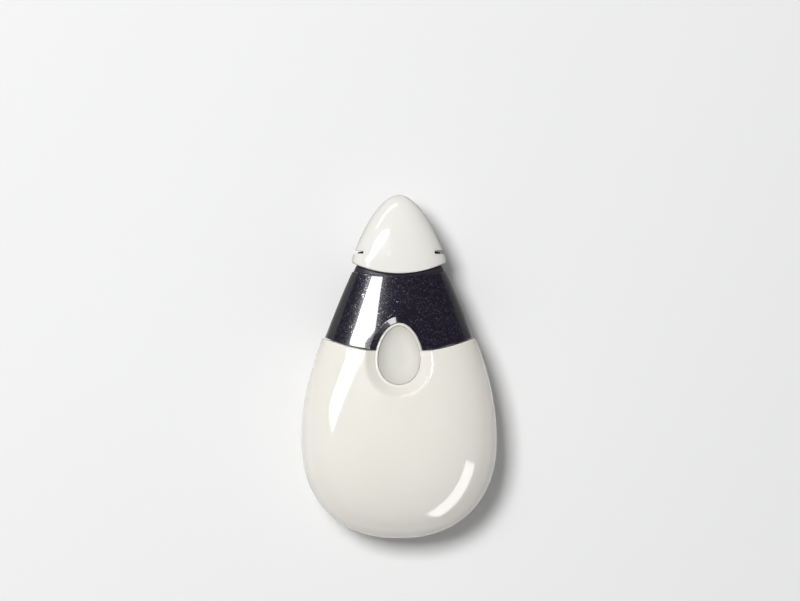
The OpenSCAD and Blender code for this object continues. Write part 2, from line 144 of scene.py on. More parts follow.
def spaced(start: float, end: float, count: int) -> Array:
    """Count evenly spaced values from start to end."""
    return np.linspace(start, end, count)


def round_angles(count: int) -> Array:
    """Count angles spread evenly round a full turn, in radians."""
    return spaced(0, 2 * math.pi, count + 1)[:-1]


def signed_power(values: Array, power: float) -> Array:
    """Power of the size of each value, with its sign kept."""
    return np.sign(values) * np.abs(values) ** power


def turned(profile: Array, angle: Array) -> Array:
    """Rings of a profile of (y, radius) points turned round the marker's long axis."""
    y, radius = profile[:, :1], profile[:, 1:]
    return np.stack([radius * np.cos(angle), y + 0 * angle, radius * np.sin(angle)], -1)


def filleted(corners: Sequence[Triple], spacing: float, closed: bool = True) -> Array:
    """Polyline through corners, with each corner rounded and long runs divided.

    Args:
        corners: (u, v, radius) of each corner; a radius of 0 stays sharp.
        spacing: longest step along a straight run.
        closed: whether the last corner joins the first.

    Returns:
        Points of the line, each corner a parabola between its two tangent points.
    """
    places = np.array([c[:2] for c in corners], float)
    line: list[Array] = []
    count = len(corners)
    for k, (_, _, radius) in enumerate(corners):
        here = places[k]
        if radius <= 0 or (not closed and k in (0, count - 1)):
            line.append(here[None])
            continue
        back, ahead = places[k - 1] - here, places[(k + 1) % count] - here
        back, ahead = back / np.linalg.norm(back), ahead / np.linalg.norm(ahead)
        half = 0.5 * math.acos(float(np.clip(back @ ahead, -1, 1)))
        reach = radius / math.tan(half)
        t = spaced(0, 1, CORNER_POINTS)[:, None]
        first, last = here + back * reach, here + ahead * reach
        line.append((1 - t) ** 2 * first + 2 * t * (1 - t) * here + t**2 * last)
    points = np.vstack(line)
    following = np.roll(points, -1, axis=0) if closed else points[1:]
    runs = []
    for a, b in zip(points, following):
        parts = max(1, int(math.ceil(np.linalg.norm(b - a) / spacing)))
        runs.append(a + (b - a) * np.arange(parts)[:, None] / parts)
    if not closed:
        runs.append(points[-1:])
    return np.vstack(runs)


def resampled(keys: Array, count: int) -> Array:
    """Count rows spread evenly by index over a list of key rows, with straight runs between them."""
    place = spaced(0, len(keys) - 1, count)
    return np.stack([np.interp(place, np.arange(len(keys)), column) for column in keys.T], -1)


def sheet(rows: int, cols: int, first: int = 0, wrap_rows: bool = False, wrap_cols: bool = False) -> Array:
    """Four-sided faces of a grid of points.

    Args:
        rows: number of rows of points.
        cols: number of points in a row.
        first: index of the grid's first point.
        wrap_rows: whether the last row joins the first.
        wrap_cols: whether each row is a closed ring.

    Returns:
        Point indices, one face to a line.
    """
    index = first + np.arange(rows * cols).reshape(rows, cols)
    if wrap_rows:
        index = np.vstack([index, index[:1]])
    if wrap_cols:
        index = np.hstack([index, index[:, :1]])
    corners = [index[:-1, :-1], index[:-1, 1:], index[1:, 1:], index[1:, :-1]]
    return np.stack(corners, -1).reshape(-1, 4)


def fan(pole: int, ring: Array, closed: bool = True) -> Array:
    """Three-sided faces from a pole to a ring of points.

    Args:
        pole: index of the pole.
        ring: indices of the ring's points, in order.
        closed: whether the last point joins the first.

    Returns:
        Point indices, one face to a line.
    """
    following = np.roll(ring, -1) if closed else ring[1:]
    ring = ring if closed else ring[:-1]
    return np.stack([np.full(len(ring), pole), ring, following], -1)


def volume_of(points: Array, faces: Faces) -> float:
    """Six times the signed volume inside closed faces, as the sum of their corner tetrahedra.

    Args:
        points: points of the surface.
        faces: groups of faces by number of corners.

    Returns:
        The sum, which is negative where the faces point inwards.
    """
    total = 0.0
    for group in faces:
        a = points[group[:, 0]]
        for k in range(1, group.shape[1] - 1):
            total += float(np.einsum("ij,ij->", a, np.cross(points[group[:, k]], points[group[:, k + 1]])))
    return total


def to_packed_frame(points: Array) -> Array:
    """Millimetres in the marker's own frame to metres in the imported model's frame."""
    return (points + np.array([0.0, -LENGTH / 2, MID_HEIGHT])) / MM_IN_METRE


@dataclass
class Form:
    """Closed surfaces gathered for one mesh, each turned so that its faces point outwards."""

    name: str
    points: list[Array] = field(default_factory=list)
    faces: Faces = field(default_factory=list)
    count: int = 0

    def add(self, points: Array, faces: Faces) -> None:
        """Adds one closed surface.

        Args:
            points: its points, one to a line, in millimetres.
            faces: groups of faces by number of corners, which index its own points.
        """
        points = points.reshape(-1, 3)
        if volume_of(points, faces) < 0:
            faces = [group[:, ::-1] for group in faces]
        used = np.unique(np.concatenate([group.ravel() for group in faces]))
        renumber = np.zeros(len(points), int)
        renumber[used] = np.arange(len(used))
        self.points.append(points[used])
        self.faces += [renumber[group] + self.count for group in faces]
        self.count += len(used)

    def tube(self, rings: Array) -> None:
        """Adds a surface closed both ways: a profile carried round and back to its start."""
        rows, cols = rings.shape[:2]
        self.add(rings, [sheet(rows, cols, wrap_rows=True, wrap_cols=True)])

    def bar(self, rings: Array) -> None:
        """Adds closed rings along a path, with a flat face at each end.

        Args:
            rings: array of rings by points by three.
        """
        rows, cols = rings.shape[:2]
        ends = [np.arange(cols)[None, ::-1], (np.arange(cols) + (rows - 1) * cols)[None]]
        self.add(rings, [sheet(rows, cols, wrap_cols=True), *ends])

    def drop(self, start: Array, rings: Array, end: Array) -> None:
        """Adds closed rings with a pole at each end.

        Args:
            start: the pole before the first ring.
            rings: array of rings by points by three.
            end: the pole after the last ring.
        """
        rows, cols = rings.shape[:2]
        points = np.vstack([rings.reshape(-1, 3), start, end])
        last = np.arange(cols) + (rows - 1) * cols
        self.add(points, [sheet(rows, cols, wrap_cols=True), fan(rows * cols, np.arange(cols)[::-1]),
                          fan(rows * cols + 1, last)])

    def plain(self) -> bpy.types.Object:
        """Makes a plain object of the surfaces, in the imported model's frame.

        Returns:
            The object, linked to the scene.
        """
        mesh = bpy.data.meshes.new(self.name)
        faces = [face for group in self.faces for face in group.tolist()]
        mesh.from_pydata(to_packed_frame(np.vstack(self.points)).tolist(), [], faces)
        piece = bpy.data.objects.new(self.name, mesh)
        bpy.context.scene.collection.objects.link(piece)
        return piece

    def make(self, body: Body, nodes: Sequence[str], crisp: float = CRISP) -> bpy.types.Object:
        """Makes the finished piece, smooth but for its crisp edges.

        Args:
            body: the moving body that it rides on.
            nodes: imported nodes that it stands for.
            crisp: angle in degrees past which an edge shades sharply.

        Returns:
            The new object.
        """
        piece = self.plain()
        mesh = piece.data
        mesh.shade_smooth()
        mesh.set_sharp_from_angle(angle=math.radians(crisp))
        mesh.update()
        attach(piece, body.value)
        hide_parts(*nodes)
        LOG.info("%s: %d points, %d faces", self.name, len(mesh.vertices), len(mesh.polygons))
        return piece


# Outlines that several pieces share


@dataclass(frozen=True)
class Profile:
    """Half width and half thickness along the marker, as dense tables."""

    y: Array
    half_w: Array
    half_t: Array


@dataclass(frozen=True)
class BodyOutline:
    """Outer form of container and collar together: full sections whose width and thickness follow y."""

    width: float = 47.1
    thickness: float = 24.6
    widest_y: float = 23.6
    end_power: float = 2.25
    section_power: float = 2.3
    seam_y: float = 48.2
    seam_w: float = 36.7
    seam_t: float = 19.5
    seam_rise: float = 3.6
    seam_slopes: Pair = (0.41, 0.2)
    nose_y: float = 64.2
    nose_w: float = 23.3
    nose_t: float = 12.9
    rim_rise: float = 1.1
    nose_slopes: Pair = (0.47, 0.21)
    thick_power: int = 2
    softening: float = 1.7
    table_step: float = 0.02
    table_past: float = 8.0

    @property
    def seam_c(self) -> float:
        """Seam's place at the middle of the front."""
        return self.seam_y - self.seam_rise

    @property
    def seam_q(self) -> float:
        """Curvature of the seam, seen from the front."""
        return self.seam_rise / (self.seam_w / 2) ** 2

    @property
    def rim_c(self) -> float:
        """Place of the collar's front rim at its middle."""
        return self.nose_y - self.rim_rise

    @property
    def rim_q(self) -> float:
        """Curvature of the collar's front rim."""
        return self.rim_rise / (self.nose_w / 2) ** 2

    def _round_end(self, y: Array, depth: Array, half: float, power: float) -> Array:
        """Super-ellipse of the round end, set in by depth."""
        u = np.clip((y - depth) / (self.widest_y - depth), 0, 1)
        return (half - depth) * (1 - (1 - u) ** power) ** (1 / power)

    def _plain(self, y: Array, half: float, power: float, seam: float, nose: float, slopes: Pair) -> Array:
        """Round end, then one cubic to the seam, one to the nose, and a straight run.

        Args:
            y: places to work the outline out at.
            half: its value where it is widest.
            power: power of the round end.
            seam: its value at the seam.
            nose: its value at the nose.
            slopes: fall per millimetre at the seam and at the nose.

        Returns:
            The outline's values, before they are softened.
        """
        out = self._round_end(y, np.zeros_like(y), half, power)
        out = np.where(y > self.widest_y,
                       hermite(y, (self.widest_y, self.seam_y), (half, seam), (0, slopes[0])), out)
        out = np.where(y > self.seam_y,
                       hermite(y, (self.seam_y, self.nose_y), (seam, nose), slopes), out)
        return np.where(y > self.nose_y, nose - slopes[1] * (y - self.nose_y), out)

    @cached_property
    def profile(self) -> Profile:
        """Outline tables, softened along the arc so that reflections run without a kink.

        Returns:
            The tables.
        """
        step = self.table_step
        rear = np.arange(0, self.widest_y * math.pi / 2, step)
        y = np.concatenate([self.widest_y * (1 - np.cos(rear / self.widest_y)),
                            np.arange(self.widest_y, self.nose_y + self.table_past, step)])
        slopes_w = (self.seam_slopes[0], self.nose_slopes[0])
        slopes_t = (self.seam_slopes[1], self.nose_slopes[1])
        half_w = self._plain(y, self.width / 2, self.end_power, self.seam_w / 2, self.nose_w / 2, slopes_w)
        half_t = self._plain(y, self.thickness / 2, self.thick_power, self.seam_t / 2, self.nose_t / 2,
                             slopes_t)
        return Profile(y, np.minimum(softened(half_w, step, self.softening), self.width / 2),
                       np.minimum(softened(half_t, step, self.softening), self.thickness / 2))

    def half_width(self, y: Array, depth: Array) -> Array:
        """Half width at y, depth below the surface.

        Args:
            y: places along the marker.
            depth: depths below the surface.

        Returns:
            The half width at each place.
        """
        base = np.interp(y, self.profile.y, self.profile.half_w)
        inner = self._round_end(y, depth, self.width / 2, self.end_power)
        return np.where((y >= self.widest_y) | (depth == 0), base - depth, inner)

    def half_thickness(self, y: Array, depth: Array) -> Array:
        """Half thickness at y, depth below the surface.

        Args:
            y: places along the marker.
            depth: depths below the surface.

        Returns:
            The half thickness at each place.
        """
        base = np.interp(y, self.profile.y, self.profile.half_t)
        inner = self._round_end(y, depth, self.thickness / 2, self.thick_power)
        return np.where((y >= self.widest_y) | (depth == 0), base - depth, inner)

    def height(self, x: Array, y: Array, depth: Array) -> Array:
        """Height of the front surface over a place in the plan, depth below the surface.

        Args:
            x: places across.
            y: places along the marker.
            depth: depths below the surface.

        Returns:
            The height z at each place, from the section's super-ellipse.
        """
        share = np.clip(np.abs(x) / self.half_width(y, depth), 0, 1)
        n = self.section_power
        return self.half_thickness(y, depth) * (1 - share**n) ** (1 / n)

    def points(self, rows: Array, columns: Columns, deepen: Floor | None = None) -> Array:
        """Surface points: x is half width times c, z half thickness times s, and y is bent by x squared.

        Args:
            rows: (y at the middle, depth, curvature) of each row.
            columns: shares c of the half width and s of the half thickness, for each column.
            deepen: gives a least depth over the plan.

        Returns:
            Array of rows by columns by three.
        """
        c, s = columns
        middle, depth, curve = (column[:, None] for column in rows.T)
        y = middle + 0 * c
        x = y
        for _ in range(BEND_ROUNDS):
            x = self.half_width(y, depth + 0 * c) * c
            y = middle + curve * x * x
        depth = depth + 0 * c
        if deepen is not None:
            depth = np.where(s > 0, np.maximum(depth, deepen(x, y)), depth)
            x = self.half_width(y, depth) * c
        return np.stack([x, y, self.half_thickness(y, depth) * s], -1)

    def columns(self, count: int, full: bool, fine: Sequence[float] = (), size: Pair = (20, 10)) -> Columns:
        """Column shares, evenly spaced round a typical section, with extra ones near the mid-plane.

        Args:
            count: number of columns in a half section.
            full: whether the back half is added, as the front half turned over.
            fine: heights of the extra columns, in millimetres.
            size: half width and half thickness of the typical section.

        Returns:
            Shares of the half width and of the half thickness.
        """
        power = 2 / self.section_power
        angle = spaced(0, math.pi, TABLE_ANGLES)
        x = size[0] * signed_power(np.cos(angle), power)
        z = size[1] * np.abs(np.sin(angle)) ** power
        length = np.concatenate([[0], np.cumsum(np.hypot(np.diff(x), np.diff(z)))])
        even = np.interp(spaced(0, length[-1], count), length, angle)
        if len(fine):
            low = np.arcsin((np.array(fine) / size[1]) ** (1 / power))
            clear = low[-1] * FINE_CLEARANCE
            inner = even[(even > clear) & (even < math.pi - clear)]
            even = np.concatenate([[0], low, inner, math.pi - low[::-1], [math.pi]])
        c = signed_power(np.cos(even), power)
        s = np.abs(np.sin(even)) ** power
        c[0], c[-1], s[0], s[-1] = 1, -1, 0, 0
        if not full:
            return c, s
        return np.concatenate([c, c[-2:0:-1]]), np.concatenate([s, -s[-2:0:-1]])


@dataclass(frozen=True)
class CapOutline:
    """Outer form of the cap: the body's sections, with widths that fall from the base to a round tip."""

    base_y: float = 66.2
    width: float = 22.7
    thickness: float = 12.6
    rise: float = 2.6
    band: float = 0.6
    powers: Pair = (1.1, 1.8)
    roots: Pair = (0.544, 0.55)
    softening: float = 0.45
    soft_depth: float = 0.6
    table_step: float = 0.01
    table_start: float = 60.0

    @property
    def edge_c(self) -> float:
        """Place of the cap's edge at its middle."""
        return self.base_y - self.rise

    @property
    def edge_q(self) -> float:
        """Curvature of the cap's edge."""
        return self.rise / (self.width / 2) ** 2

    @property
    def full_y(self) -> float:
        """Place up to which the full width holds."""
        return self.base_y + self.band

    def _halves(self, y: Array, depth: Array) -> tuple[Array, Array]:
        """Half width and half thickness: the full size times (1 - share ** power) ** root.

        Args:
            y: places along the marker.
            depth: depths below the surface.

        Returns:
            Half width and half thickness at each place.
        """
        share = np.clip((y - self.full_y) / (LENGTH - depth - self.full_y), 0, 1)
        half_w = (self.width / 2 - depth) * (1 - share ** self.powers[0]) ** self.roots[0]
        half_t = (self.thickness / 2 - depth) * (1 - share ** self.powers[1]) ** self.roots[1]
        return half_w, half_t

    @cached_property
    def profile(self) -> Profile:
        """Outline tables, softened along the arc.

        Returns:
            The tables.
        """
        step, start = self.table_step, self.table_start
        arc = np.arange(0, (LENGTH - start) * math.pi / 2, step)
        y = start + (LENGTH - start) * np.sin(arc / (LENGTH - start))
        half_w, half_t = self._halves(y, np.zeros_like(y))
        return Profile(y, np.minimum(softened(half_w, step, self.softening), self.width / 2),
                       np.minimum(softened(half_t, step, self.softening), self.thickness / 2))

    def halves(self, y: Array, depth: Array) -> tuple[Array, Array]:
        """Half width and half thickness at y, depth below the surface.

        Args:
            y: places along the marker.
            depth: depths below the surface.

        Returns:
            Half width and half thickness at each place.
        """
        plain = self._halves(y, depth)
        tables = (self.profile.half_w, self.profile.half_t)
        soft = (np.maximum(np.interp(y, self.profile.y, table) - depth, 0) for table in tables)
        return tuple(np.where(depth < self.soft_depth, outer, inner) for outer, inner in zip(soft, plain))

    def points(self, rows: Array, columns: Columns) -> Array:
        """Surface points as in BodyOutline.points, from the cap's own widths.

        Args:
            rows: (y at the middle, depth, curvature) of each row.
            columns: shares of the half width and of the half thickness, for each column.

        Returns:
            Array of rows by columns by three.
        """
        c, s = columns
        middle, depth, curve = (column[:, None] for column in rows.T)
        depth = depth + 0 * c
        y = middle + 0 * c
        for _ in range(BEND_ROUNDS):
            y = middle + curve * (self.halves(y, depth)[0] * c) ** 2
        half_w, half_t = self.halves(y, depth)
        return np.stack([half_w * c, y, half_t * s], -1)


@dataclass(frozen=True)
class EggOutline:
    """Egg-shaped edge of the finger rest, narrower towards the tip."""

    width: float = 10.0
    length: float = 14.0
    centre_y: float = 44.1
    narrowing: float = 0.148
    search: Pair = (-4.9, 60.0)
    halvings: int = 26

    def at(self, angle: Array, offset: Array, scale: Array | float = 1.0) -> tuple[Array, Array]:
        """Points of the egg: x from the sine, squeezed by the cosine, and y from the cosine.

        Args:
            angle: angle from the tip, in radians.
            offset: distance outside the edge.
            scale: share of the whole egg, for rings inside it.

        Returns:
            x and y in millimetres.
        """
        x = scale * (self.width / 2 + offset) * np.sin(angle) * (1 - self.narrowing * np.cos(angle))
        return x, self.centre_y + scale * (self.length / 2 + offset) * np.cos(angle)

    def offset_of(self, x: Array, y: Array) -> Array:
        """Offset of the egg that passes through each place, found by halving an interval.

        Args:
            x: places across.
            y: places along the marker.

        Returns:
            The offset at each place.
        """
        low, high = (np.full(np.shape(x), end) for end in self.search)
        for _ in range(self.halvings):
            middle = 0.5 * (low + high)
            cosine = np.clip((y - self.centre_y) / (self.length / 2 + middle), -1, 1)
            reach = (self.width / 2 + middle) * np.sqrt(1 - cosine**2) * (1 - self.narrowing * cosine)
            inside = (np.abs(x) <= reach) & (np.abs(cosine) < 1)
            low, high = np.where(inside, low, middle), np.where(inside, middle, high)
        return 0.5 * (low + high)


@dataclass(frozen=True)
class Dish:
    """Bevelled dish round the finger rest, cut into collar and container alike."""

    outline: BodyOutline
    egg: EggOutline
    lip_w: float = 0.55
    gap: float = 0.15
    bevel_w: float = 1.5
    step: float = 0.5
    wall: float = 1.3
    lip_depth: float = 1.75
    skirt_d: float = 2.1
    run_out: float = 0.8
    soft_edge: float = 0.45
    pocket_d: float = 5.8
    under: float = 0.05
    proud: float = 0.004
    container_past: float = 0.3
    container_most: float = 1.95
    collar_past: float = 0.35
    collar_most: float = 1.75
    # How the band along the egg is worked out and divided
    seam_halvings: int = 40
    band_out: float = 5.0
    band_arc: float = 26.0
    band_near: tuple[float, ...] = (0, 0.02, 0.05, 0.09, 0.14, 0.2, 0.28, 0.4, 0.55)
    band_from: float = 0.75
    band_steps: int = 150

    @property
    def foot(self) -> float:
        """Offset of the bevel's foot."""
        return self.lip_w + self.gap

    @property
    def slope(self) -> float:
        """Depth of the bevel for each millimetre towards the lip."""
        return self.wall / self.bevel_w

    @property
    def reach(self) -> float:
        """Offset at which the dish runs out into the container's surface."""
        return self.foot + self.bevel_w + self.run_out

    def hollow(self, offset: Array) -> Array:
        """Depth of the dish in the container: a straight bevel, whose outer edge is blended by a parabola.

        Args:
            offset: distances outside the rest's edge.

        Returns:
            The depth at each distance.
        """
        distance = self.reach - offset
        blend = np.clip(distance + self.soft_edge, 0, 2 * self.soft_edge)
        eased = np.maximum(distance - self.soft_edge, 0) + blend ** 2 / (4 * self.soft_edge)
        return (self.step + self.wall) * eased / (self.reach - self.foot)

    def container_floor(self, x: Array, y: Array) -> Array:
        """Least depth of the container's rough surface, so that it stays under the dish's own band.

        Args:
            x: places across.
            y: places along the marker.

        Returns:
            The least depth at each place.
        """
        offset = self.egg.offset_of(x, y)
        bevel = np.minimum(self.hollow(offset - self.container_past) + self.under, self.container_most)
        return np.where(offset < self.foot, self.pocket_d, np.where(offset < self.reach, bevel, 0.0))

    def collar_floor(self, x: Array, y: Array) -> Array:
        """Least depth of the collar's rough surface.

        Args:
            x: places across.
            y: places along the marker.

        Returns:
            The least depth at each place.
        """
        offset = self.egg.offset_of(x, y)
        edge = self.foot + self.bevel_w + self.collar_past
        bevel = np.minimum(self.step + self.slope * (edge - offset), self.collar_most)
        return np.where(offset < edge, bevel, 0.0)

    def seam_angle(self, offset: Array, gap: float) -> Array:
        """Angle at which the egg of each offset crosses the seam curve, gap in front of it, by halving.

        Args:
            offset: distances outside the rest's edge.
            gap: how far in front of the seam curve the crossing lies.

        Returns:
            The angle for each offset, from the tip.
        """
        low, high = np.zeros_like(offset), np.full_like(offset, math.pi)
        for _ in range(self.seam_halvings):
            middle = 0.5 * (low + high)
            x, y = self.egg.at(middle, offset)
            ahead = y > self.outline.seam_c + gap + self.outline.seam_q * x * x
            low, high = np.where(ahead, middle, low), np.where(ahead, high, middle)
        return 0.5 * (low + high)

    def band(self, profile: Array, top_count: int, gap: float, radius: float, ahead: bool) -> Array:
        """Profile of offsets and depths carried along the egg, from seam to seam.

        Args:
            profile: (offset, depth) of each point of the closed profile.
            top_count: how many of them are on the seen surface, where the seam's edge is rounded.
            gap: how far in front of the seam curve the band ends.
            radius: radius of the rounded edge there.
            ahead: whether the band lies in front of the seam, in the collar.

        Returns:
            Rings of the band, one to each step along the egg.
        """
        offset, depth = profile.T
        crossing = self.seam_angle(offset, gap)
        near, inner = np.array(self.band_near) / self.band_arc, self.band_from / self.band_arc
        t = np.concatenate([near, spaced(inner, 1 - inner, self.band_steps), 1 - near[::-1]])[:, None]
        start, end = (-crossing, crossing) if ahead else (crossing, 2 * math.pi - crossing)
        x, y = self.egg.at(start + t * (end - start), offset)
        curve = self.outline.seam_q
        distance = (y - self.outline.seam_c - gap - curve * x * x) / np.sqrt(1 + (2 * curve * x) ** 2)
        loss = rounding(np.abs(distance), radius) * (np.arange(len(offset)) < top_count)
        depth = depth + loss
        return np.stack([x, y, self.outline.height(x, y, depth)], -1)


# Finishes


class Palette:
    """Small helper that adds and links the nodes of one tree."""

    def __init__(self, tree: bpy.types.NodeTree) -> None:
        """Starts on an empty tree."""
        self.tree = tree
        tree.nodes.clear()

    def add(self, kind: str, values: dict[str | int, object] | None = None,
            **settings: object) -> bpy.types.Node:
        """Adds a node and fills its inputs.

        Args:
            kind: Blender's name of the node type.
            values: a value or an output to link for each input, by its name or, where names repeat, by its
                place.
            settings: node properties, which are set first.

        Returns:
            The node.
        """
        node = self.tree.nodes.new(kind)
        for key, value in settings.items():
            setattr(node, key, value)
        for key, value in (values or {}).items():
            socket = node.inputs[key] if isinstance(key, int) else self.enabled(node.inputs, key)
            if isinstance(value, bpy.types.NodeSocket):
                self.tree.links.new(value, socket)
            else:
                socket.default_value = value
        return node

    @staticmethod
    def enabled(sockets: Sequence[Socket], name: str) -> Socket:
        """Enabled socket of a name, for nodes that repeat a name for each kind of value."""
        return next(s for s in sockets if s.name == name and s.enabled)

    def out(self, node: bpy.types.Node, name: str) -> Socket:
        """Enabled output of a node by name."""
        return self.enabled(node.outputs, name)

    def maths(self, operation: str, *inputs: object) -> Socket:
        """Result of a sum on numbers."""
        return self.add("ShaderNodeMath", dict(enumerate(inputs)), operation=operation).outputs[0]

    def vector(self, operation: str, values: dict[str | int, object]) -> Socket:
        """Result of a sum on vectors."""
        return self.out(self.add("ShaderNodeVectorMath", values, operation=operation), "Vector")

    def mix(self, factor: Socket, first: object, second: object, kind: str = "RGBA") -> Socket:
        """Result of mixing two values of a kind by a factor."""
        node = self.add("ShaderNodeMix", {"Factor": factor, "A": first, "B": second}, data_type=kind)
        return self.out(node, "Result")

    def spread(self, value: Socket, source: tuple[object, object],
               target: tuple[object, object] = (0.0, 1.0)) -> Socket:
        """Value carried from one range to another.

        Args:
            value: the value.
            source: where its range starts and ends.
            target: where the new range starts and ends; the result stays inside it.

        Returns:
            The new value.
        """
        node = self.add("ShaderNodeMapRange", {"Value": value, "From Min": source[0], "From Max": source[1],
                                               "To Min": target[0], "To Max": target[1]})
        return self.out(node, "Result")


class Effects:
    """Node groups that several finishes share, each built once."""

    NUMBER = "NodeSocketFloat"
    VECTOR = "NodeSocketVector"

    @classmethod
    def _start(cls, name: str, inputs: dict[str, float | None], outputs: dict[str, str]
               ) -> tuple[Palette, bpy.types.Node]:
        """Starts a group with its sockets.

        Args:
            name: name of the group.
            inputs: default value of each number, and None for each vector.
            outputs: kind of each output.

        Returns:
            The group's palette and its input node.
        """
        tree = bpy.data.node_groups.new(name, "ShaderNodeTree")
        for key, value in inputs.items():
            kind = cls.VECTOR if value is None else cls.NUMBER
            socket = tree.interface.new_socket(name=key, in_out="INPUT", socket_type=kind)
            if value is not None:
                socket.default_value = value
        for key, kind in outputs.items():
            tree.interface.new_socket(name=key, in_out="OUTPUT", socket_type=kind)
        palette = Palette(tree)
        return palette, palette.add("NodeGroupInput")

    @classmethod
    @cache
    def moulded(cls) -> bpy.types.NodeTree:
        """Moulded skin: a fine noise as height, and a slow one as tone and as change of polish.

        Returns:
            The group.
        """
        palette, start = cls._start(
            "moulded_skin", {"Vector": None, "Fine": 5000.0, "Low": 0.2, "High": 0.3},
            {"Height": cls.NUMBER, "Roughness": cls.NUMBER, "Tone": cls.NUMBER})
        given = start.outputs
        fine = palette.add("ShaderNodeTexNoise", {"Vector": given["Vector"], "Scale": given["Fine"],
                                                  "Detail": 3.0})
        slow = palette.add("ShaderNodeTexNoise", {"Vector": given["Vector"], "Scale": 90.0, "Detail": 4.0,
                                                  "Roughness": 0.6})
        tone = palette.out(slow, "Fac")
        rough = palette.spread(tone, NOISE_RANGE, (given["Low"], given["High"]))
        height = palette.out(fine, "Fac")
        palette.add("NodeGroupOutput", {"Height": height, "Roughness": rough, "Tone": tone})
        return palette.tree

    @classmethod
    @cache
    def flakes(cls) -> bpy.types.NodeTree:
        """Metal flakes: each cell of a fine mosaic tilts the normal its own way and has its own glint.

        Returns:
            The group.
        """
        palette, start = cls._start(
            "metal_flakes", {"Vector": None, "Normal": None, "Scale": 4000.0, "Tilt": 0.3, "Bare": 0.8},
            {"Normal": cls.VECTOR, "Glint": cls.NUMBER})
        given = start.outputs
        mosaic = palette.add("ShaderNodeTexVoronoi", {"Vector": given["Vector"], "Scale": given["Scale"]})
        parts = palette.add("ShaderNodeSeparateColor", {"Color": palette.out(mosaic, "Color")})
        glint = palette.spread(parts.outputs[0], (given["Bare"], 1.0))
        chance = palette.add("ShaderNodeTexWhiteNoise", {"Vector": palette.out(mosaic, "Position")})
        centred = palette.vector("SUBTRACT", {0: palette.out(chance, "Color"), 1: (0.5, 0.5, 0.5)})
        amount = palette.maths("MULTIPLY", glint, given["Tilt"])
        tilt = palette.vector("SCALE", {0: centred, "Scale": amount})
        tilted = palette.vector("ADD", {0: given["Normal"], 1: tilt})
        palette.add("NodeGroupOutput", {"Normal": palette.vector("NORMALIZE", {0: tilted}), "Glint": glint})
        return palette.tree


@dataclass(frozen=True)
class Finish:
    """Plain finish: two near tones of a colour, uneven polish, and a fine skin as a bump."""

    name: str
    light: Triple
    dark: Triple
    low: float = 0.18
    high: float = 0.25
    grain: float = 5000.0
    relief: float = 0.02
    relief_h: float = 0.0001
    metallic: float = 0.0
    tone_range: Pair = NOISE_RANGE

    def _begin(self) -> tuple[bpy.types.Material, Palette, Socket]:
        """Starts a material.

        Returns:
            The material, its palette and its Object coordinates.
        """
        material = bpy.data.materials.new(self.name)
        material.use_nodes = True
        palette = Palette(material.node_tree)
        return material, palette, palette.add("ShaderNodeTexCoord").outputs["Object"]

    def _drawn(self, palette: Palette, place: Socket) -> Socket:
        """Coordinates of the skin, as they are unless a finish draws them out."""
        return place

    def _skin(self, palette: Palette, place: Socket) -> bpy.types.Node:
        """Moulded skin with this finish's grain and polish."""
        return palette.add("ShaderNodeGroup", {"Vector": place, "Fine": self.grain, "Low": self.low,
                                               "High": self.high}, node_tree=Effects.moulded())

    def _tone(self, palette: Palette, factor: Socket) -> Socket:
        """Mixes the two tones.

        Args:
            palette: the material's palette.
            factor: slow noise that picks the tone.

        Returns:
            The colour.
        """
        ramp = palette.add("ShaderNodeValToRGB", {"Fac": factor})
        for stop, place, tone in zip(ramp.color_ramp.elements, self.tone_range, (self.dark, self.light)):
            stop.position = place
            stop.color = (*tone, 1)
        return ramp.outputs["Color"]

    def _end(self, palette: Palette, values: dict[str, object]) -> None:
        """Adds the shader with its values, and the material's output."""
        shader = palette.add("ShaderNodeBsdfPrincipled", values)
        palette.add("ShaderNodeOutputMaterial", {"Surface": shader.outputs[0]})

    def material(self) -> bpy.types.Material:
        """Builds the material.

        Returns:
            The material.
        """
        material, palette, place = self._begin()
        skin = self._skin(palette, self._drawn(palette, place))
        bump = palette.add("ShaderNodeBump", {"Height": skin.outputs["Height"], "Strength": self.relief,
                                              "Distance": self.relief_h})
        self._end(palette, {"Base Color": self._tone(palette, skin.outputs["Tone"]),
                            "Metallic": self.metallic, "Roughness": skin.outputs["Roughness"],
                            "Normal": bump.outputs["Normal"]})
        return material


class MouldedPlastic(Finish):
    """Injection-moulded plastic, from a high gloss to a fine matt grain."""


@dataclass(frozen=True)
class FlakeLacquer(Finish):
    """Dark lacquer with metal flakes under a clear coat."""

    low: float = 0.20
    flake: Triple = (0.15, 0.15, 0.17)
    scale: float = 4600.0
    tilt: float = 0.22
    bare: float = 0.8
    polish: float = 0.035
    coat_ior: float = 1.6

    def material(self) -> bpy.types.Material:
        """Builds the material: flakes lighten the dark base where they glint, under a smooth coat.

        Returns:
            The material.
        """
        material, palette, place = self._begin()
        normal = palette.add("ShaderNodeNewGeometry").outputs["Normal"]
        flakes = palette.add("ShaderNodeGroup", {"Vector": place, "Normal": normal, "Scale": self.scale,
                                                 "Tilt": self.tilt, "Bare": self.bare},
                             node_tree=Effects.flakes())
        skin = self._skin(palette, place)
        glint = flakes.outputs["Glint"]
        base = palette.mix(glint, self._tone(palette, skin.outputs["Tone"]), (*self.flake, 1))
        self._end(palette, {"Base Color": base, "Roughness": skin.outputs["Roughness"], "Metallic": glint,
                            "Normal": flakes.outputs["Normal"], "Coat Weight": 1.0,
                            "Coat Roughness": self.polish, "Coat IOR": self.coat_ior})
        return material


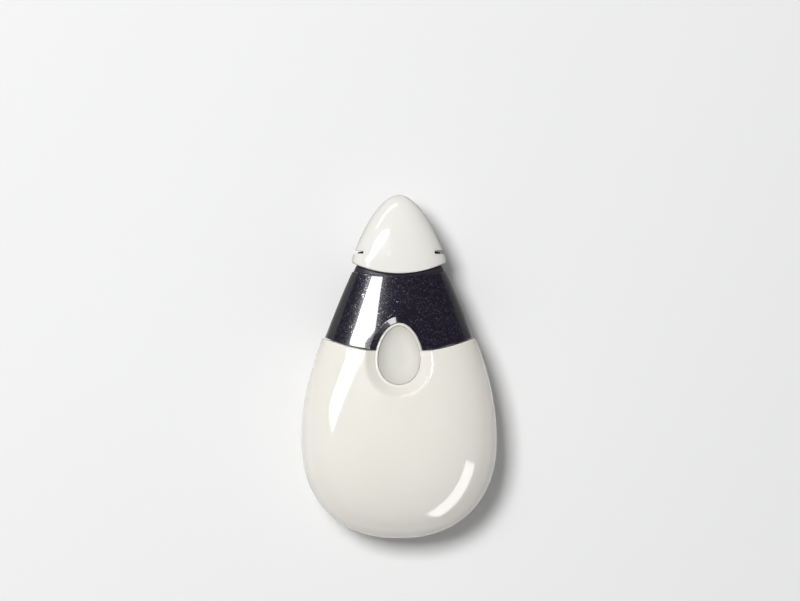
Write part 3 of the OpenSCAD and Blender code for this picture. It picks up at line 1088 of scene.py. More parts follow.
@dataclass(frozen=True)
class GroundSteel(Finish):
    """Steel with fine turning marks round the x axis."""

    low: float = 0.22
    high: float = 0.34
    grain: float = 1500.0
    relief: float = 0.15
    relief_h: float = 0.00005
    metallic: float = 1.0
    stretch: Triple = (40.0, 1.0, 1.0)

    def _drawn(self, palette: Palette, place: Socket) -> Socket:
        """Coordinates squeezed along x, so that the grain is drawn out across it."""
        return palette.add("ShaderNodeMapping", {"Vector": place, "Scale": self.stretch}).outputs["Vector"]


@dataclass(frozen=True)
class Finishes:
    """The marker's finishes."""

    gloss: Finish = MouldedPlastic("gloss_offwhite_plastic", (0.80, 0.775, 0.715), (0.785, 0.76, 0.695),
                                   low=0.06, high=0.1, grain=1800.0, relief=0.01)
    cap: Finish = MouldedPlastic("gloss_white_cap_plastic", (0.80, 0.785, 0.745), (0.785, 0.765, 0.725),
                                 low=0.09, high=0.14, grain=1800.0, relief=0.015)
    rest: Finish = MouldedPlastic("matt_finger_rest_plastic", (0.645, 0.635, 0.59), (0.62, 0.61, 0.565),
                                  low=0.55, high=0.66, grain=7000.0, relief=0.5)
    neck: Finish = MouldedPlastic("plain_neck_plastic", (0.74, 0.73, 0.69), (0.72, 0.705, 0.66),
                                  low=0.35, high=0.45, grain=5000.0, relief=0.12)
    seal: Finish = MouldedPlastic("seal_rubber", (0.035, 0.035, 0.04), (0.025, 0.025, 0.03),
                                  low=0.6, high=0.75, grain=6000.0, relief=0.4)
    chalk: Finish = MouldedPlastic("chalk_powder_finish", (0.86, 0.86, 0.87), (0.80, 0.80, 0.815),
                                   low=0.9, high=1.0, grain=9000.0, relief=1.0)
    holder: Finish = MouldedPlastic("dark_holder_plastic", (0.030, 0.023, 0.036), (0.024, 0.018, 0.030),
                                    low=0.28, high=0.38, grain=4500.0, relief=0.08)
    lacquer: Finish = FlakeLacquer("aubergine_flake_lacquer", (0.0072, 0.0042, 0.0165),
                                   (0.0056, 0.0032, 0.013))
    wheel: Finish = GroundSteel("stamped_wheel_steel", (0.60, 0.61, 0.63), (0.50, 0.51, 0.53))
    axle: Finish = GroundSteel("ground_axle_steel", (0.66, 0.67, 0.69), (0.58, 0.59, 0.61),
                               low=0.15, high=0.22)


def dress(piece: bpy.types.Object, material: bpy.types.Material) -> None:
    """Gives a piece one material in its first slot."""
    piece.data.materials.clear()
    piece.data.materials.append(material)


# Sub-assemblies


@dataclass
class Container:
    """Powder container: two shells, the finger rest in its pocket, the filler neck, its seal, the powder."""

    outline: BodyOutline
    egg: EggOutline
    dish: Dish
    finishes: Finishes
    wall: float = 1.6
    edge_r: float = 0.35
    groove_r: float = 0.16
    skirt_y: float = 54.0
    skirt_in: float = 3.7
    flange_t: float = 1.5
    neck_r: float = 4.4
    bore_r: float = 3.2
    neck_end: float = 61.0
    seal_r: float = 0.5
    bowl_edge: float = 2.15
    bowl_depth: float = 2.2
    bowl_power: float = 3.0
    rest_t: float = 1.05
    rest_gap: float = 0.03
    rest_rim_r: float = 0.05
    skirt_edge: float = 0.3
    skirt_turn: Pair = (0.1, 0.03)
    wall_until: float = 4.0
    skirt_wall_from: float = 2.0
    land_soft: float = 0.06
    pocket_past: float = 1.2
    pocket_inner: float = 7.0
    band_in: float = 0.27
    band_under: tuple[Pair, ...] = ((0.27, 2.3), (1.2, 2.3), (2.6, 1.6), (4.95, 0.7))
    seam_r: float = 0.3
    lip_in: float = 0.05
    lip_out: float = 1.05
    lip_foot: float = 3.6
    lip_under: float = 2.7
    lip_r: float = 0.2
    flange_gap: float = 0.05
    seal_gap: float = 0.02
    # How the skins are worked out and divided
    shell_columns: int = 150
    end_rows: int = 64
    run_rows: int = 52
    skirt_rows: int = 24
    edge_shares: tuple[float, ...] = (0.8, 0.6, 0.42, 0.26, 0.13, 0.04, 0.0)
    fine_heights: tuple[float, ...] = (0.015, 0.04, 0.075, 0.12, 0.17, 0.25)
    middle_y: float = 30.0
    land_limit: float = 60.0
    slope_points: int = 40
    outside_points: int = 9
    lip_points: int = 240
    rest_points: int = 192
    rest_run: tuple[float, float, int] = (0.02, 0.94, 34)
    rest_scales: tuple[float, ...] = (0.96, 0.975, 0.985, 0.993, 0.998, 1.0)
    rest_rim_spread: float = 6.0
    rest_crisp: float = 50.0
    neck_columns: int = 80
    seal_points: tuple[int, int] = (128, 24)

    def _rows(self) -> tuple[Array, Array]:
        """Rows of a shell from its rear pole to the skirt's end, outside and inside.

        Returns:
            (y at the middle, depth, curvature) of each outer and each inner row.
        """
        seam, q, widest = self.outline.seam_c, self.outline.seam_q, self.outline.widest_y
        angle = spaced(0, math.pi / 2, self.end_rows)[1:]
        rear = np.stack([widest * (1 - np.cos(angle)), 0 * angle, 0 * angle], -1)
        run = resampled(np.array([[widest, 0, 0], [seam - self.edge_r, 0, q]]), self.run_rows)[1:]
        inset = self.edge_r * np.array(self.edge_shares)
        edge = np.stack([seam - inset, rounding(inset, self.edge_r), 0 * inset + q], -1)
        skirt_y, skirt_d, soft = self.skirt_y, self.dish.skirt_d, self.skirt_edge
        skirt = resampled(np.array([[seam, skirt_d, q], [skirt_y - soft, skirt_d, 0]]), self.skirt_rows)
        back, down = self.skirt_turn
        end = np.array([[skirt_y - back, skirt_d + down, 0], [skirt_y, skirt_d + soft, 0]])
        outer = np.vstack([rear, run, edge, skirt, end])
        inner_rear = np.stack([self.wall + (widest - self.wall) * (1 - np.cos(angle[::3])),
                               0 * angle[::3] + self.wall, 0 * angle[::3]], -1)
        inner = np.vstack([inner_rear, [[seam - self.wall_until, self.wall, q],
                                        [seam - self.skirt_wall_from, self.skirt_in, q],
                                        [skirt_y, self.skirt_in, 0]]])
        return outer, resampled(inner, len(outer))

    def _grooved(self, points: Array) -> Array:
        """Points moved in along the surface's normal near the mid-plane, by the rounding of the edges.

        Args:
            points: array of rows by columns by three.

        Returns:
            The moved points.
        """
        across, along = np.gradient(points, axis=1), np.gradient(points, axis=0)
        normal = np.cross(across, along)
        normal /= np.maximum(np.linalg.norm(normal, axis=-1, keepdims=True), TINY)
        outwards = np.sum(normal * (points - np.array([0.0, self.middle_y, 0.0])), -1, keepdims=True)
        normal *= np.where(outwards < 0, -1.0, 1.0)
        return points - normal * rounding(np.abs(points[..., 2:3]), self.groove_r)

    def _shell(self, form: Form, half: Half, deepen: tuple[Floor | None, Floor | None]) -> None:
        """Adds one half shell: outer and inner surface, joined at the skirt's end and along the mid-plane.

        Args:
            form: what the shell is added to.
            half: which shell it is.
            deepen: least depths of its outer and of its inner surface over the plan.
        """
        columns = self.outline.columns(self.shell_columns, full=False, fine=self.fine_heights)
        outer_rows, inner_rows = self._rows()
        outer = self._grooved(self.outline.points(outer_rows, columns, deepen[0]))
        inner = self.outline.points(inner_rows, columns, deepen[1])
        rows, cols = outer.shape[:2]
        shell = np.concatenate([outer.reshape(-1, 3), inner.reshape(-1, 3),
                                [[0, self.groove_r, 0], [0, self.wall, 0]]])
        if half is Half.BACK:
            shell = shell * np.array([1, 1, -1])
            soft, far = self.land_soft, self.land_limit
            excess = (MID_HEIGHT + shell[:, 2]) / soft
            eased = soft * np.logaddexp(0, np.clip(excess, -far, far))
            shell[:, 2] = -MID_HEIGHT + eased + soft * np.maximum(excess - far, 0)
            shell[:, 2] = np.maximum(shell[:, 2], -MID_HEIGHT)
        size = rows * cols
        last = np.arange(cols) + (rows - 1) * cols
        faces = [sheet(rows, cols), sheet(rows, cols, size)[:, ::-1],
                 fan(2 * size, np.arange(cols), closed=False)[:, ::-1],
                 fan(2 * size + 1, np.arange(cols) + size, closed=False),
                 np.stack([last[1:], last[:-1], last[:-1] + size, last[1:] + size], -1)[:, ::-1]]
        for column, turn in ((0, 1), (cols - 1, -1)):
            outside = np.arange(rows) * cols + column
            inside = outside + size
            strip = np.stack([outside[:-1], outside[1:], inside[1:], inside[:-1]], -1)
            first = np.array([[2 * size, outside[0], inside[0], 2 * size + 1]])
            faces.append(np.vstack([first, strip])[:, ::turn])
        form.add(shell, faces)

    def _pocket_floor(self, x: Array, y: Array) -> Array:
        """Least depth of the front shell's inner surface, which makes room for the pocket."""
        return np.where(self.egg.offset_of(x, y) < self.pocket_past, self.pocket_inner, 0.0)

    def front_shell(self) -> bpy.types.Object:
        """Front shell: rough shell, the dish's band in the container, and the raised lip round the rest.

        Returns:
            The piece.
        """
        form = Form("front_shell_skin")
        self._shell(form, Half.FRONT, (self.dish.container_floor, self._pocket_floor))
        dish, lip = self.dish, self.dish.lip_depth
        outside = spaced(dish.band_out, dish.reach + 0.4, self.outside_points)
        slope = spaced(dish.reach + 0.3, dish.foot + 0.1, self.slope_points)
        top = np.vstack([np.stack([outside, 0 * outside - dish.proud], -1),
                         np.stack([slope, dish.hollow(slope) - dish.proud], -1),
                         [[dish.foot, lip + 0.02], [dish.foot - 0.1, lip + 0.015],
                          [self.band_in, lip + 0.012]]])
        profile = np.vstack([top, self.band_under])
        form.bar(dish.band(profile, len(top), gap=0.0, radius=self.seam_r, ahead=False))
        sunk = dish.skirt_d - 0.005
        ring = filleted([(self.lip_in, self.lip_foot, 0), (self.lip_in, lip, self.lip_r),
                         (dish.lip_w, lip, self.lip_r), (dish.lip_w, sunk, 0.06), (self.lip_out, sunk, 0),
                         (self.lip_out, self.lip_under, 0)], spacing=0.3)
        x, y = self.egg.at(round_angles(self.lip_points)[:, None], ring[:, 0])
        form.tube(np.stack([x, y, self.outline.height(x, y, ring[:, 1] + 0 * x)], -1))
        return form.make(Body.CONTAINER, ["body_front_shell"])

    def back_shell(self) -> bpy.types.Object:
        """Back shell, with the flat that the marker rests on.

        Returns:
            The piece.
        """
        form = Form("back_shell_skin")
        self._shell(form, Half.BACK, (None, None))
        return form.make(Body.CONTAINER, ["body_back_shell"])

    def finger_rest(self) -> bpy.types.Object:
        """Egg-shaped bowl: depth grows with one minus a power of the scale, and the rim is rounded.

        Returns:
            The piece.
        """
        form = Form("finger_rest_bowl")
        scale = np.concatenate([spaced(*self.rest_run), self.rest_scales])
        angle = round_angles(self.rest_points)
        x, y = self.egg.at(angle, 0 * angle - self.rest_gap, scale[:, None])
        depth = self.bowl_edge + self.bowl_depth * (1 - scale[:, None] ** self.bowl_power) + 0 * x
        rim = rounding((1 - scale[:, None]) * self.rest_rim_spread, self.rest_rim_r)
        top = self.outline.height(x, y, depth + rim)
        base = self.outline.height(x, y, depth + self.rest_t)
        rings = np.concatenate([np.stack([x, y, top], -1), np.stack([x, y, base], -1)[::-1]])
        centre = np.array([0.0]), np.array([self.egg.centre_y])
        deepest = self.bowl_edge + self.bowl_depth
        poles = [np.array([0, self.egg.centre_y, self.outline.height(*centre, np.array([d]))[0]])
                 for d in (deepest, deepest + self.rest_t)]
        form.drop(poles[0], rings, poles[1])
        return form.make(Body.CONTAINER, ["finger_rest"], self.rest_crisp)

    def neck(self) -> bpy.types.Object:
        """Filler neck: flange with the skirt's outline, then round rings over the neck and down its bore.

        Returns:
            The piece.
        """
        form = Form("filler_neck_spout")
        columns = self.outline.columns(self.neck_columns, full=True)
        angle = np.arctan2(columns[1], columns[0])
        back = self.skirt_y - self.flange_t
        inset = self.skirt_in + self.flange_gap
        flange = self.outline.points(np.array([[back, inset, 0], [self.skirt_y - 0.15, inset, 0],
                                               [self.skirt_y, self.skirt_in + 0.2, 0]]), columns)
        profile = filleted([(self.skirt_y, self.neck_r + 0.6, 0), (self.skirt_y, self.neck_r, 0.3),
                            (self.neck_end, self.neck_r, 0.3), (self.neck_end, self.bore_r, 0.12),
                            (back, self.bore_r, 0)], spacing=0.6, closed=False)
        form.tube(np.concatenate([flange, turned(profile, angle)]))
        return form.make(Body.CONTAINER, ["filler_neck"])

    def seal(self) -> bpy.types.Object:
        """Seal ring: a circle carried round the neck.

        Returns:
            The piece.
        """
        form = Form("neck_seal_ring")
        around, section = np.meshgrid(*map(round_angles, self.seal_points), indexing="ij")
        radius = self.neck_r + self.seal_r + self.seal_gap + self.seal_r * np.cos(section)
        y = self.skirt_y + self.seal_r + self.seal_r * np.sin(section)
        form.tube(np.stack([radius * np.cos(around), y, radius * np.sin(around)], -1))
        return form.make(Body.CONTAINER, ["neck_seal"])

    def build(self) -> None:
        """Builds and dresses the container's pieces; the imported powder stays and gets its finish."""
        gloss = self.finishes.gloss.material()
        dress(self.front_shell(), gloss)
        dress(self.back_shell(), gloss)
        dress(self.finger_rest(), self.finishes.rest.material())
        dress(self.neck(), self.finishes.neck.material())
        dress(self.seal(), self.finishes.seal.material())
        dress(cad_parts["chalk_powder"], self.finishes.chalk.material())


@dataclass
class CollarSleeve:
    """Lacquered collar with the bevelled arch round the finger rest."""

    outline: BodyOutline
    egg: EggOutline
    dish: Dish
    finishes: Finishes
    gap: float = 0.25
    rear_r: float = 0.18
    rim_r: float = 0.35
    arch_open: float = 1.35
    bevel_r: float = 0.12
    band_under: tuple[Pair, ...] = ((2.6, 1.5), (4.95, 1.1))
    # How the skins are worked out and divided
    ring_columns: int = 170
    run_rows: int = 62
    rear_shares: tuple[float, ...] = (0.0, 0.05, 0.15, 0.32, 0.55, 0.8, 1.0)
    rim_shares: tuple[float, ...] = (1.0, 0.75, 0.52, 0.33, 0.18, 0.07, 0.0)

    def _sleeve(self, form: Form) -> None:
        """Adds the sleeve: an outer and an inner sheet of equal rows, walled at both ends and at the arch.

        Args:
            form: what the sleeve is added to.
        """
        columns = self.outline.columns(self.ring_columns, full=True)
        rear, q = self.outline.seam_c + self.gap, self.outline.seam_q
        rim, rim_q, step = self.outline.rim_c, self.outline.rim_q, self.dish.step
        near = self.rear_r * np.array(self.rear_shares)
        far = self.rim_r * np.array(self.rim_shares)
        start = np.stack([rear + near, step + rounding(near, self.rear_r), 0 * near + q], -1)
        end = np.stack([rim - far, step + rounding(far, self.rim_r), 0 * far + rim_q], -1)
        run = resampled(np.stack([start[-1], end[0]]), self.run_rows)[1:-1]
        outer_rows = np.vstack([start, run, end])
        inner_rows = outer_rows.copy()
        inner_rows[:, 1] = step + self.dish.wall
        outer = self.outline.points(outer_rows, columns, self.dish.collar_floor)
        inner = self.outline.points(inner_rows, columns)
        offset = self.egg.offset_of(outer[..., 0], outer[..., 1])
        open_point = (offset < self.arch_open) & (outer[..., 2] > 0)
        closed_ring = np.hstack([open_point, open_point[:, :1]])
        keep = ~(closed_ring[:-1, :-1] & closed_ring[:-1, 1:] & closed_ring[1:, :-1] & closed_ring[1:, 1:])
        rows, cols = outer.shape[:2]
        index = np.arange(rows * cols).reshape(rows, cols)
        index = np.hstack([index, index[:, :1]])
        a, b, c, d = index[:-1, :-1], index[:-1, 1:], index[1:, 1:], index[1:, :-1]
        size = rows * cols
        cells = np.stack([a, b, c, d], -1)[keep]
        blank = np.zeros((1, cols), bool)
        below, above = np.vstack([blank, keep[:-1]]), np.vstack([keep[1:], blank])
        left, right = np.roll(keep, 1, axis=1), np.roll(keep, -1, axis=1)
        walls = [np.stack([p[m], o[m], o[m] + size, p[m] + size], -1)
                 for o, p, m in ((a, b, keep & ~below), (b, c, keep & ~right), (c, d, keep & ~above),
                                 (d, a, keep & ~left))]
        form.add(np.concatenate([outer.reshape(-1, 3), inner.reshape(-1, 3)]),
                 [cells, cells[:, ::-1] + size, *walls])

    def build(self) -> bpy.types.Object:
        """Builds and dresses the collar.

        Returns:
            The piece.
        """
        form = Form("collar_sleeve")
        self._sleeve(form)
        dish, inner = self.dish, self.dish.step + self.dish.wall
        edge = dish.foot + dish.bevel_w
        level = dish.step - dish.proud
        top = filleted([(dish.band_out, level, 0), (edge, level, self.bevel_r),
                        (dish.foot + 0.07, inner - 0.06, 0.05), (dish.foot, inner + 0.02, 0)],
                       spacing=0.25, closed=False)
        under = np.array([(dish.foot, inner + 0.1), (1.9, inner + 0.006), *self.band_under])
        profile = np.vstack([top, under])
        form.bar(dish.band(profile, len(top), gap=self.gap, radius=self.rear_r, ahead=True))
        piece = form.make(Body.FRONT_UNIT, ["collar"])
        dress(piece, self.finishes.lacquer.material())
        return piece


@dataclass
class WheelHolder:
    """Dark holder: socket and plug inside the collar, shoulder, neck, snout, fork and arms."""

    outline: BodyOutline
    cap: CapOutline
    finishes: Finishes
    plug_d: float = 1.9
    shoulder_d: float = 0.8
    neck_in: float = 1.15
    cap_gap: float = 0.2
    plug_y: float = 59.5
    socket_y: float = 55.05
    socket_end: float = 61.3
    socket_r: float = 4.45
    socket_wall: float = 0.9
    duct_r: float = 1.5
    slot_half: float = 0.7
    snout: Pair = (3.1, 3.9)
    fork: Pair = (2.6, 2.3)
    wheel_y: float = WHEEL_Y
    slot_y: float = SLOT_Y
    slot_depth: float = 3.6
    rim_gap: float = 0.03
    edge_r: float = 0.28
    front_past: float = 0.2
    front_r: float = 0.35
    front_loss: float = 1.25
    cheek_in: float = 0.5
    cheek_bend: float = 86.0
    fork_blend: float = 0.6
    flare: float = 0.35
    arm_x: float = 8.6
    arm_t: float = 0.85
    arm_rings: tuple[Pair, ...] = ((-1.3, 0.88), (-1.27, 0.94), (-1.2, 0.98), (-1.1, 1.0),
                                   (1.1, 1.0), (1.2, 0.98), (1.27, 0.94), (1.3, 0.88))
    lug_in: float = 0.85
    lug_slope: float = 0.28
    # How the skins are worked out and divided
    edge_shares: tuple[float, ...] = (1.0, 0.7, 0.45, 0.25, 0.1, 0.0)
    trunk_columns: int = 110
    neck_steps: int = 8
    snout_steps: int = 12
    cheek_steps: int = 14
    bend_steps: int = 16
    section_points: int = 72
    snout_power: float = 5.0
    cheek_power: float = 6.0

    @property
    def fork_y(self) -> float:
        """Place where the duct ends and the fork's slot begins."""
        return self.wheel_y - self.slot_depth

    def _trunk(self, form: Form) -> None:
        """Adds duct, socket, plug, shoulder and neck as one skin of rings, from the duct to the front.

        Args:
            form: what the trunk is added to.
        """
        columns = self.outline.columns(self.trunk_columns, full=True)
        angle = np.arctan2(columns[1], columns[0])
        outer = self.socket_r + self.socket_wall
        profile = filleted([(self.fork_y, self.duct_r, 0), (self.socket_end, self.duct_r, 0),
                            (self.socket_end, self.socket_r, 0.1), (self.socket_y, self.socket_r, 0.15),
                            (self.socket_y, outer, 0.25), (self.plug_y, outer, 0.3),
                            (self.plug_y, outer + 0.6, 0)], spacing=0.8, closed=False)
        rim, rim_q = self.outline.rim_c + self.rim_gap, self.outline.rim_q
        edge, edge_q = self.cap.edge_c - self.cap_gap, self.cap.edge_q
        soft = self.edge_r
        inset = soft * np.array(self.edge_shares)
        loss = rounding(inset, soft)
        rows = [[self.plug_y, self.plug_d + 0.3, 0], [self.plug_y + 0.1, self.plug_d + 0.08, 0],
                [self.plug_y + 0.3, self.plug_d, 0], [rim, self.plug_d, rim_q],
                [rim, self.shoulder_d, rim_q]]
        rows += [[edge - i, self.shoulder_d + k, edge_q] for i, k in zip(inset, loss)]
        rows.append([edge, self.plug_d + 0.3, edge_q])
        body_rings = self.outline.points(np.array(rows), columns)
        front = self.cap.full_y + self.front_past
        neck_rows = [[edge, self.neck_in, edge_q]]
        neck_rows += [[y, self.neck_in, edge_q * (front - y) / (front - edge)]
                      for y in spaced(edge, front - self.front_r, self.neck_steps)[1:]]
        neck_rows += [[front - i, self.neck_in + k, 0]
                      for i, k in zip(self.front_r * inset / soft, self.front_loss * loss)]
        neck_rings = self.cap.points(np.array(neck_rows), columns)
        form.drop(np.array([0, self.fork_y, 0]),
                  np.concatenate([turned(profile, angle), body_rings, neck_rings]), np.array([0, front, 0]))

    def _section(self, half_x: Array, half_z: Array, y: Array, power: float) -> Array:
        """Rings of rounded oblong sections along y, as super-ellipses of a high power.

        Args:
            half_x: half width of each section.
            half_z: half height of each section.
            y: place of each section.
            power: power of the super-ellipse.

        Returns:
            Array of sections by points by three.
        """
        angle = round_angles(self.section_points)
        c, s = (signed_power(share, 2 / power) for share in (np.cos(angle), np.sin(angle)))
        return np.stack([half_x[:, None] * c, y[:, None] + 0 * c, half_z[:, None] * s], -1)

    def _nose(self, form: Form) -> None:
        """Adds the snout and the two cheeks of the fork, whose ends are round about the axle.

        Args:
            form: what the nose is added to.
        """
        base, slot, wheel = self.cap.full_y, self.fork_y, self.wheel_y
        (snout_x, snout_z), (fork_x, fork_z) = self.snout, self.fork
        blended = slot + self.fork_blend
        y = spaced(base, slot, self.snout_steps)
        wide = snout_x + (fork_x - snout_x) * np.clip((y - base) / (blended - base), 0, 1)
        tall = snout_z + (fork_z - snout_z) * ((y - base) / (wheel - base))
        flare = self.flare * np.exp(-(y - base) / self.flare)
        form.bar(self._section(wide + flare, tall + flare, y, self.snout_power))
        run = spaced(slot - self.cheek_in, wheel, self.cheek_steps)
        bend = spaced(0, math.radians(self.cheek_bend), self.bend_steps)[1:]
        y = np.concatenate([run, wheel + fork_z * np.sin(bend)])
        tall = np.concatenate([snout_z + (fork_z - snout_z) * (run - base) / (wheel - base),
                               fork_z * np.cos(bend)])
        outer = np.interp(y, [base, blended], [snout_x, fork_x])
        for side in (-1, 1):
            rings = self._section((outer - self.slot_half) / 2, tall, y, self.cheek_power)
            rings[..., 0] += (side * (outer + self.slot_half) / 2)[:, None]
            form.bar(rings)

    def _arm(self, form: Form, side: int) -> None:
        """Adds a spring arm: its side view with rounded corners, drawn along z with a small bevel.

        Args:
            form: what the arm is added to.
            side: -1 for the left one and 1 for the right one.
        """
        lug = float(self.cap.halves(np.array([self.slot_y]), np.array([0.0]))[0][0]) - self.lug_in
        arm_in, root = self.arm_x - self.arm_t, self.cap.full_y - 0.2
        slot, rise = self.slot_y, self.lug_slope
        outline = filleted([(arm_in, root, 0), (self.arm_x, root, 0), (self.arm_x, slot - 0.3, 0.08),
                            (lug, slot - rise, 0.08), (lug, slot, 0.1), (self.arm_x, slot + rise, 0.08),
                            (self.arm_x - 0.1, slot + 0.3, 0.1), (arm_in, slot + 0.3, 0.15)],
                           spacing=0.3)
        centre = outline.mean(0)
        rings = []
        for z, shrink in self.arm_rings:
            flat = centre + (outline - centre) * shrink
            rings.append(np.stack([side * flat[:, 0], flat[:, 1], 0 * flat[:, 0] + z], -1))
        form.bar(np.array(rings))

    def build(self) -> bpy.types.Object:
        """Builds and dresses the holder.

        Returns:
            The piece.
        """
        form = Form("wheel_holder_body")
        self._trunk(form)
        self._nose(form)
        for side in (-1, 1):
            self._arm(form, side)
        piece = form.make(Body.FRONT_UNIT, ["wheel_holder"])
        dress(piece, self.finishes.holder.material())
        return piece


@dataclass
class TracingWheel:
    """Toothed marking wheel on its axle pin."""

    finishes: Finishes
    centre_y: float = WHEEL_Y
    tip_r: float = 3.0
    tooth: float = 0.45
    teeth: int = 30
    disc_half: float = 0.45
    hub_r: float = 1.4
    hub_half: float = 0.62
    bore_r: float = 0.64
    axle_r: float = 0.6
    axle_half: float = 2.6
    crest_gain: float = 1.15
    crest_cut: float = 0.05
    # How the skins are worked out and divided
    per_tooth: int = 8
    wheel_crisp: float = 25.0
    axle_points: int = 64

    def wheel(self) -> bpy.types.Object:
        """Wheel: a closed profile carried round x, whose outermost points rise and fall with the teeth.

        Returns:
            The piece.
        """
        form = Form("toothed_wheel")
        around = round_angles(self.teeth * self.per_tooth)
        wave = np.abs(((around * self.teeth / (2 * math.pi) + 0.5) % 1.0) * 2 - 1)
        crest = np.clip(self.crest_gain * (1 - wave) - self.crest_cut, 0, 1)
        root = self.tip_r - self.tooth
        half = filleted([(0.0, self.bore_r, 0), (self.hub_half, self.bore_r, 0.06),
                         (self.hub_half, self.hub_r, 0.1), (self.disc_half, self.hub_r, 0.08),
                         (self.disc_half, root - 0.12, 0.1), (0.3, root - 0.02, 0), (0.22, root, 0)],
                        spacing=0.25, closed=False)
        profile = np.vstack([half, half[:0:-1] * np.array([-1, 1])])
        lift = np.where(profile[:, 1] >= root - 1e-6, 1.0, np.where(profile[:, 1] > root - 0.05, 0.75, 0.0))
        radius = profile[:, 1] + (self.tooth * crest[:, None]) * lift
        form.tube(np.stack([profile[:, 0] + 0 * radius, self.centre_y + radius * np.cos(around)[:, None],
                            radius * np.sin(around)[:, None]], -1))
        piece = form.make(Body.WHEEL, ["marking_wheel"], self.wheel_crisp)
        dress(piece, self.finishes.wheel.material())
        return piece

    def axle(self) -> bpy.types.Object:
        """Axle pin: a straight run with slightly domed ends, turned round x.

        Returns:
            The piece.
        """
        form = Form("axle_pin")
        start, radius = -self.axle_half, self.axle_r
        profile = np.array([[start, 0.5 * radius], [start + 0.02, 0.8 * radius],
                            [start + 0.07, 0.95 * radius], [start + 0.15, radius]])
        profile = np.vstack([profile, profile[::-1] * np.array([-1, 1])])
        around = round_angles(self.axle_points)
        rings = np.stack([profile[:, :1] + 0 * around, self.centre_y + profile[:, 1:] * np.cos(around),
                          profile[:, 1:] * np.sin(around)], -1)
        form.drop(np.array([start, self.centre_y, 0]), rings, np.array([-start, self.centre_y, 0]))
        piece = form.make(Body.FRONT_UNIT, ["wheel_axle"])
        dress(piece, self.finishes.axle.material())
        return piece

    def build(self) -> None:
        """Builds the wheel and its axle."""
        self.wheel()
        self.axle()


@dataclass
class SnapCap:
    """White cap with a snap slot at each side."""

    outline: BodyOutline
    cap: CapOutline
    finishes: Finishes
    wall: float = 1.2
    base_wall: float = 0.85
    edge_r: float = 0.35
    slot_y: float = SLOT_Y
    slot_r: float = 0.45
    slot_x: float = 8.5
    tool_x: float = 14.0
    tool_z: float = 8.0
    taper_y: float = 71.0
    # How the skins are worked out and divided
    ring_columns: int = 120
    slot_points: int = 17
    inner_rows: int = 26
    run_rows: int = 40
    tip_rows: int = 60
    section: Pair = (10, 6)
    edge_shares: tuple[float, ...] = (0.0, 0.05, 0.14, 0.28, 0.46, 0.7, 1.0)

    def _cutter(self) -> bpy.types.Object:
        """Tool for the two slots: a run with a round inner end, drawn through the whole thickness.

        Returns:
            The tool, which is removed once the slots are cut.
        """
        bend = spaced(math.pi / 2, 3 * math.pi / 2, self.slot_points)
        x = np.concatenate([[self.tool_x], self.slot_x + self.slot_r * (1 + np.cos(bend)), [self.tool_x]])
        y = self.slot_y + np.concatenate([[self.slot_r], self.slot_r * np.sin(bend), [-self.slot_r]])
        form = Form("slot_tool")
        for side in (-1, 1):
            form.bar(np.array([np.stack([side * x, y, 0 * x + z], -1) for z in (-self.tool_z, self.tool_z)]))
        return form.plain()

    def build(self) -> bpy.types.Object:
        """Builds the cap as one skin from its inner tip over the rim to its outer tip, and cuts the slots.

        Returns:
            The piece.
        """
        form = Form("cap_shell")
        columns = self.outline.columns(self.ring_columns, full=True, size=self.section)
        edge, q, inner_tip = self.cap.edge_c, self.cap.edge_q, LENGTH - self.wall
        slot_top = self.slot_y + self.slot_r
        angle = spaced(0, math.pi / 2, self.inner_rows)[:-1]
        inner = [[slot_top + (inner_tip - slot_top) * math.cos(a), self.wall, 0] for a in angle[1:]]
        inner += [[slot_top, self.wall, 0], [slot_top, self.base_wall, 0],
                  [self.cap.full_y, self.base_wall, 0], [edge + 0.15, self.base_wall, q],
                  [edge, self.base_wall - 0.12, q]]
        inset = self.edge_r * np.array(self.edge_shares)
        outer = np.stack([edge + inset, rounding(inset, self.edge_r), 0 * inset + q], -1)
        taper = self.taper_y
        run = resampled(np.array([[edge + self.edge_r, 0, q], [taper, 0, 0]]), self.run_rows)[1:]
        rise = spaced(0, math.pi / 2, self.tip_rows)[1:-1]
        tip = [[taper + (LENGTH - taper) * math.sin(a), 0, 0] for a in rise]
        rows = np.vstack([inner, outer, run, tip])
        form.drop(np.array([0, inner_tip, 0]), self.cap.points(rows, columns), np.array([0, LENGTH, 0]))
        piece = form.make(Body.CAP, ["cap"])
        tool = self._cutter()
        cut = piece.modifiers.new("slots", "BOOLEAN")
        cut.operation, cut.solver, cut.object = "DIFFERENCE", "EXACT", tool
        graph = bpy.context.evaluated_depsgraph_get()
        carved = bpy.data.meshes.new_from_object(piece.evaluated_get(graph))
        piece.modifiers.clear()
        piece.data = carved
        bpy.data.objects.remove(tool, do_unlink=True)
        carved.shade_smooth()
        carved.set_sharp_from_angle(angle=math.radians(CRISP))
        dress(piece, self.finishes.cap.material())
        return piece


# Studio


@dataclass(frozen=True)
class Softbox:
    """Rectangular studio light that runs from one point to another and looks at the marker."""

    name: str
    start: Triple
    end: Triple
    width: float
    radiance: float
    shine: Shine

    def build(self, aim: Vector) -> None:
        """Adds the light, its long side from start to end and its face towards a point.

        Args:
            aim: the point, in metres.
        """
        start, end = Vector(self.start), Vector(self.end)
        length = (end - start).length
        lamp = bpy.data.lights.new(self.name, "AREA")
        lamp.shape = "RECTANGLE"
        lamp.size, lamp.size_y = length, self.width
        lamp.energy = self.radiance * math.pi * length * self.width
        holder = bpy.data.objects.new(self.name, lamp)
        middle = (start + end) / 2
        across = (end - start).normalized()
        back = middle - aim
        back = (back - across * back.dot(across)).normalized()
        turn = Matrix((across, back.cross(across), back)).transposed().to_4x4()
        holder.matrix_world = Matrix.Translation(middle) @ turn
        holder.visible_camera = False
        holder.visible_diffuse = self.shine is Shine.MATT_ONLY
        holder.visible_glossy = self.shine is Shine.GLOSS_ONLY
        bpy.context.scene.collection.objects.link(holder)


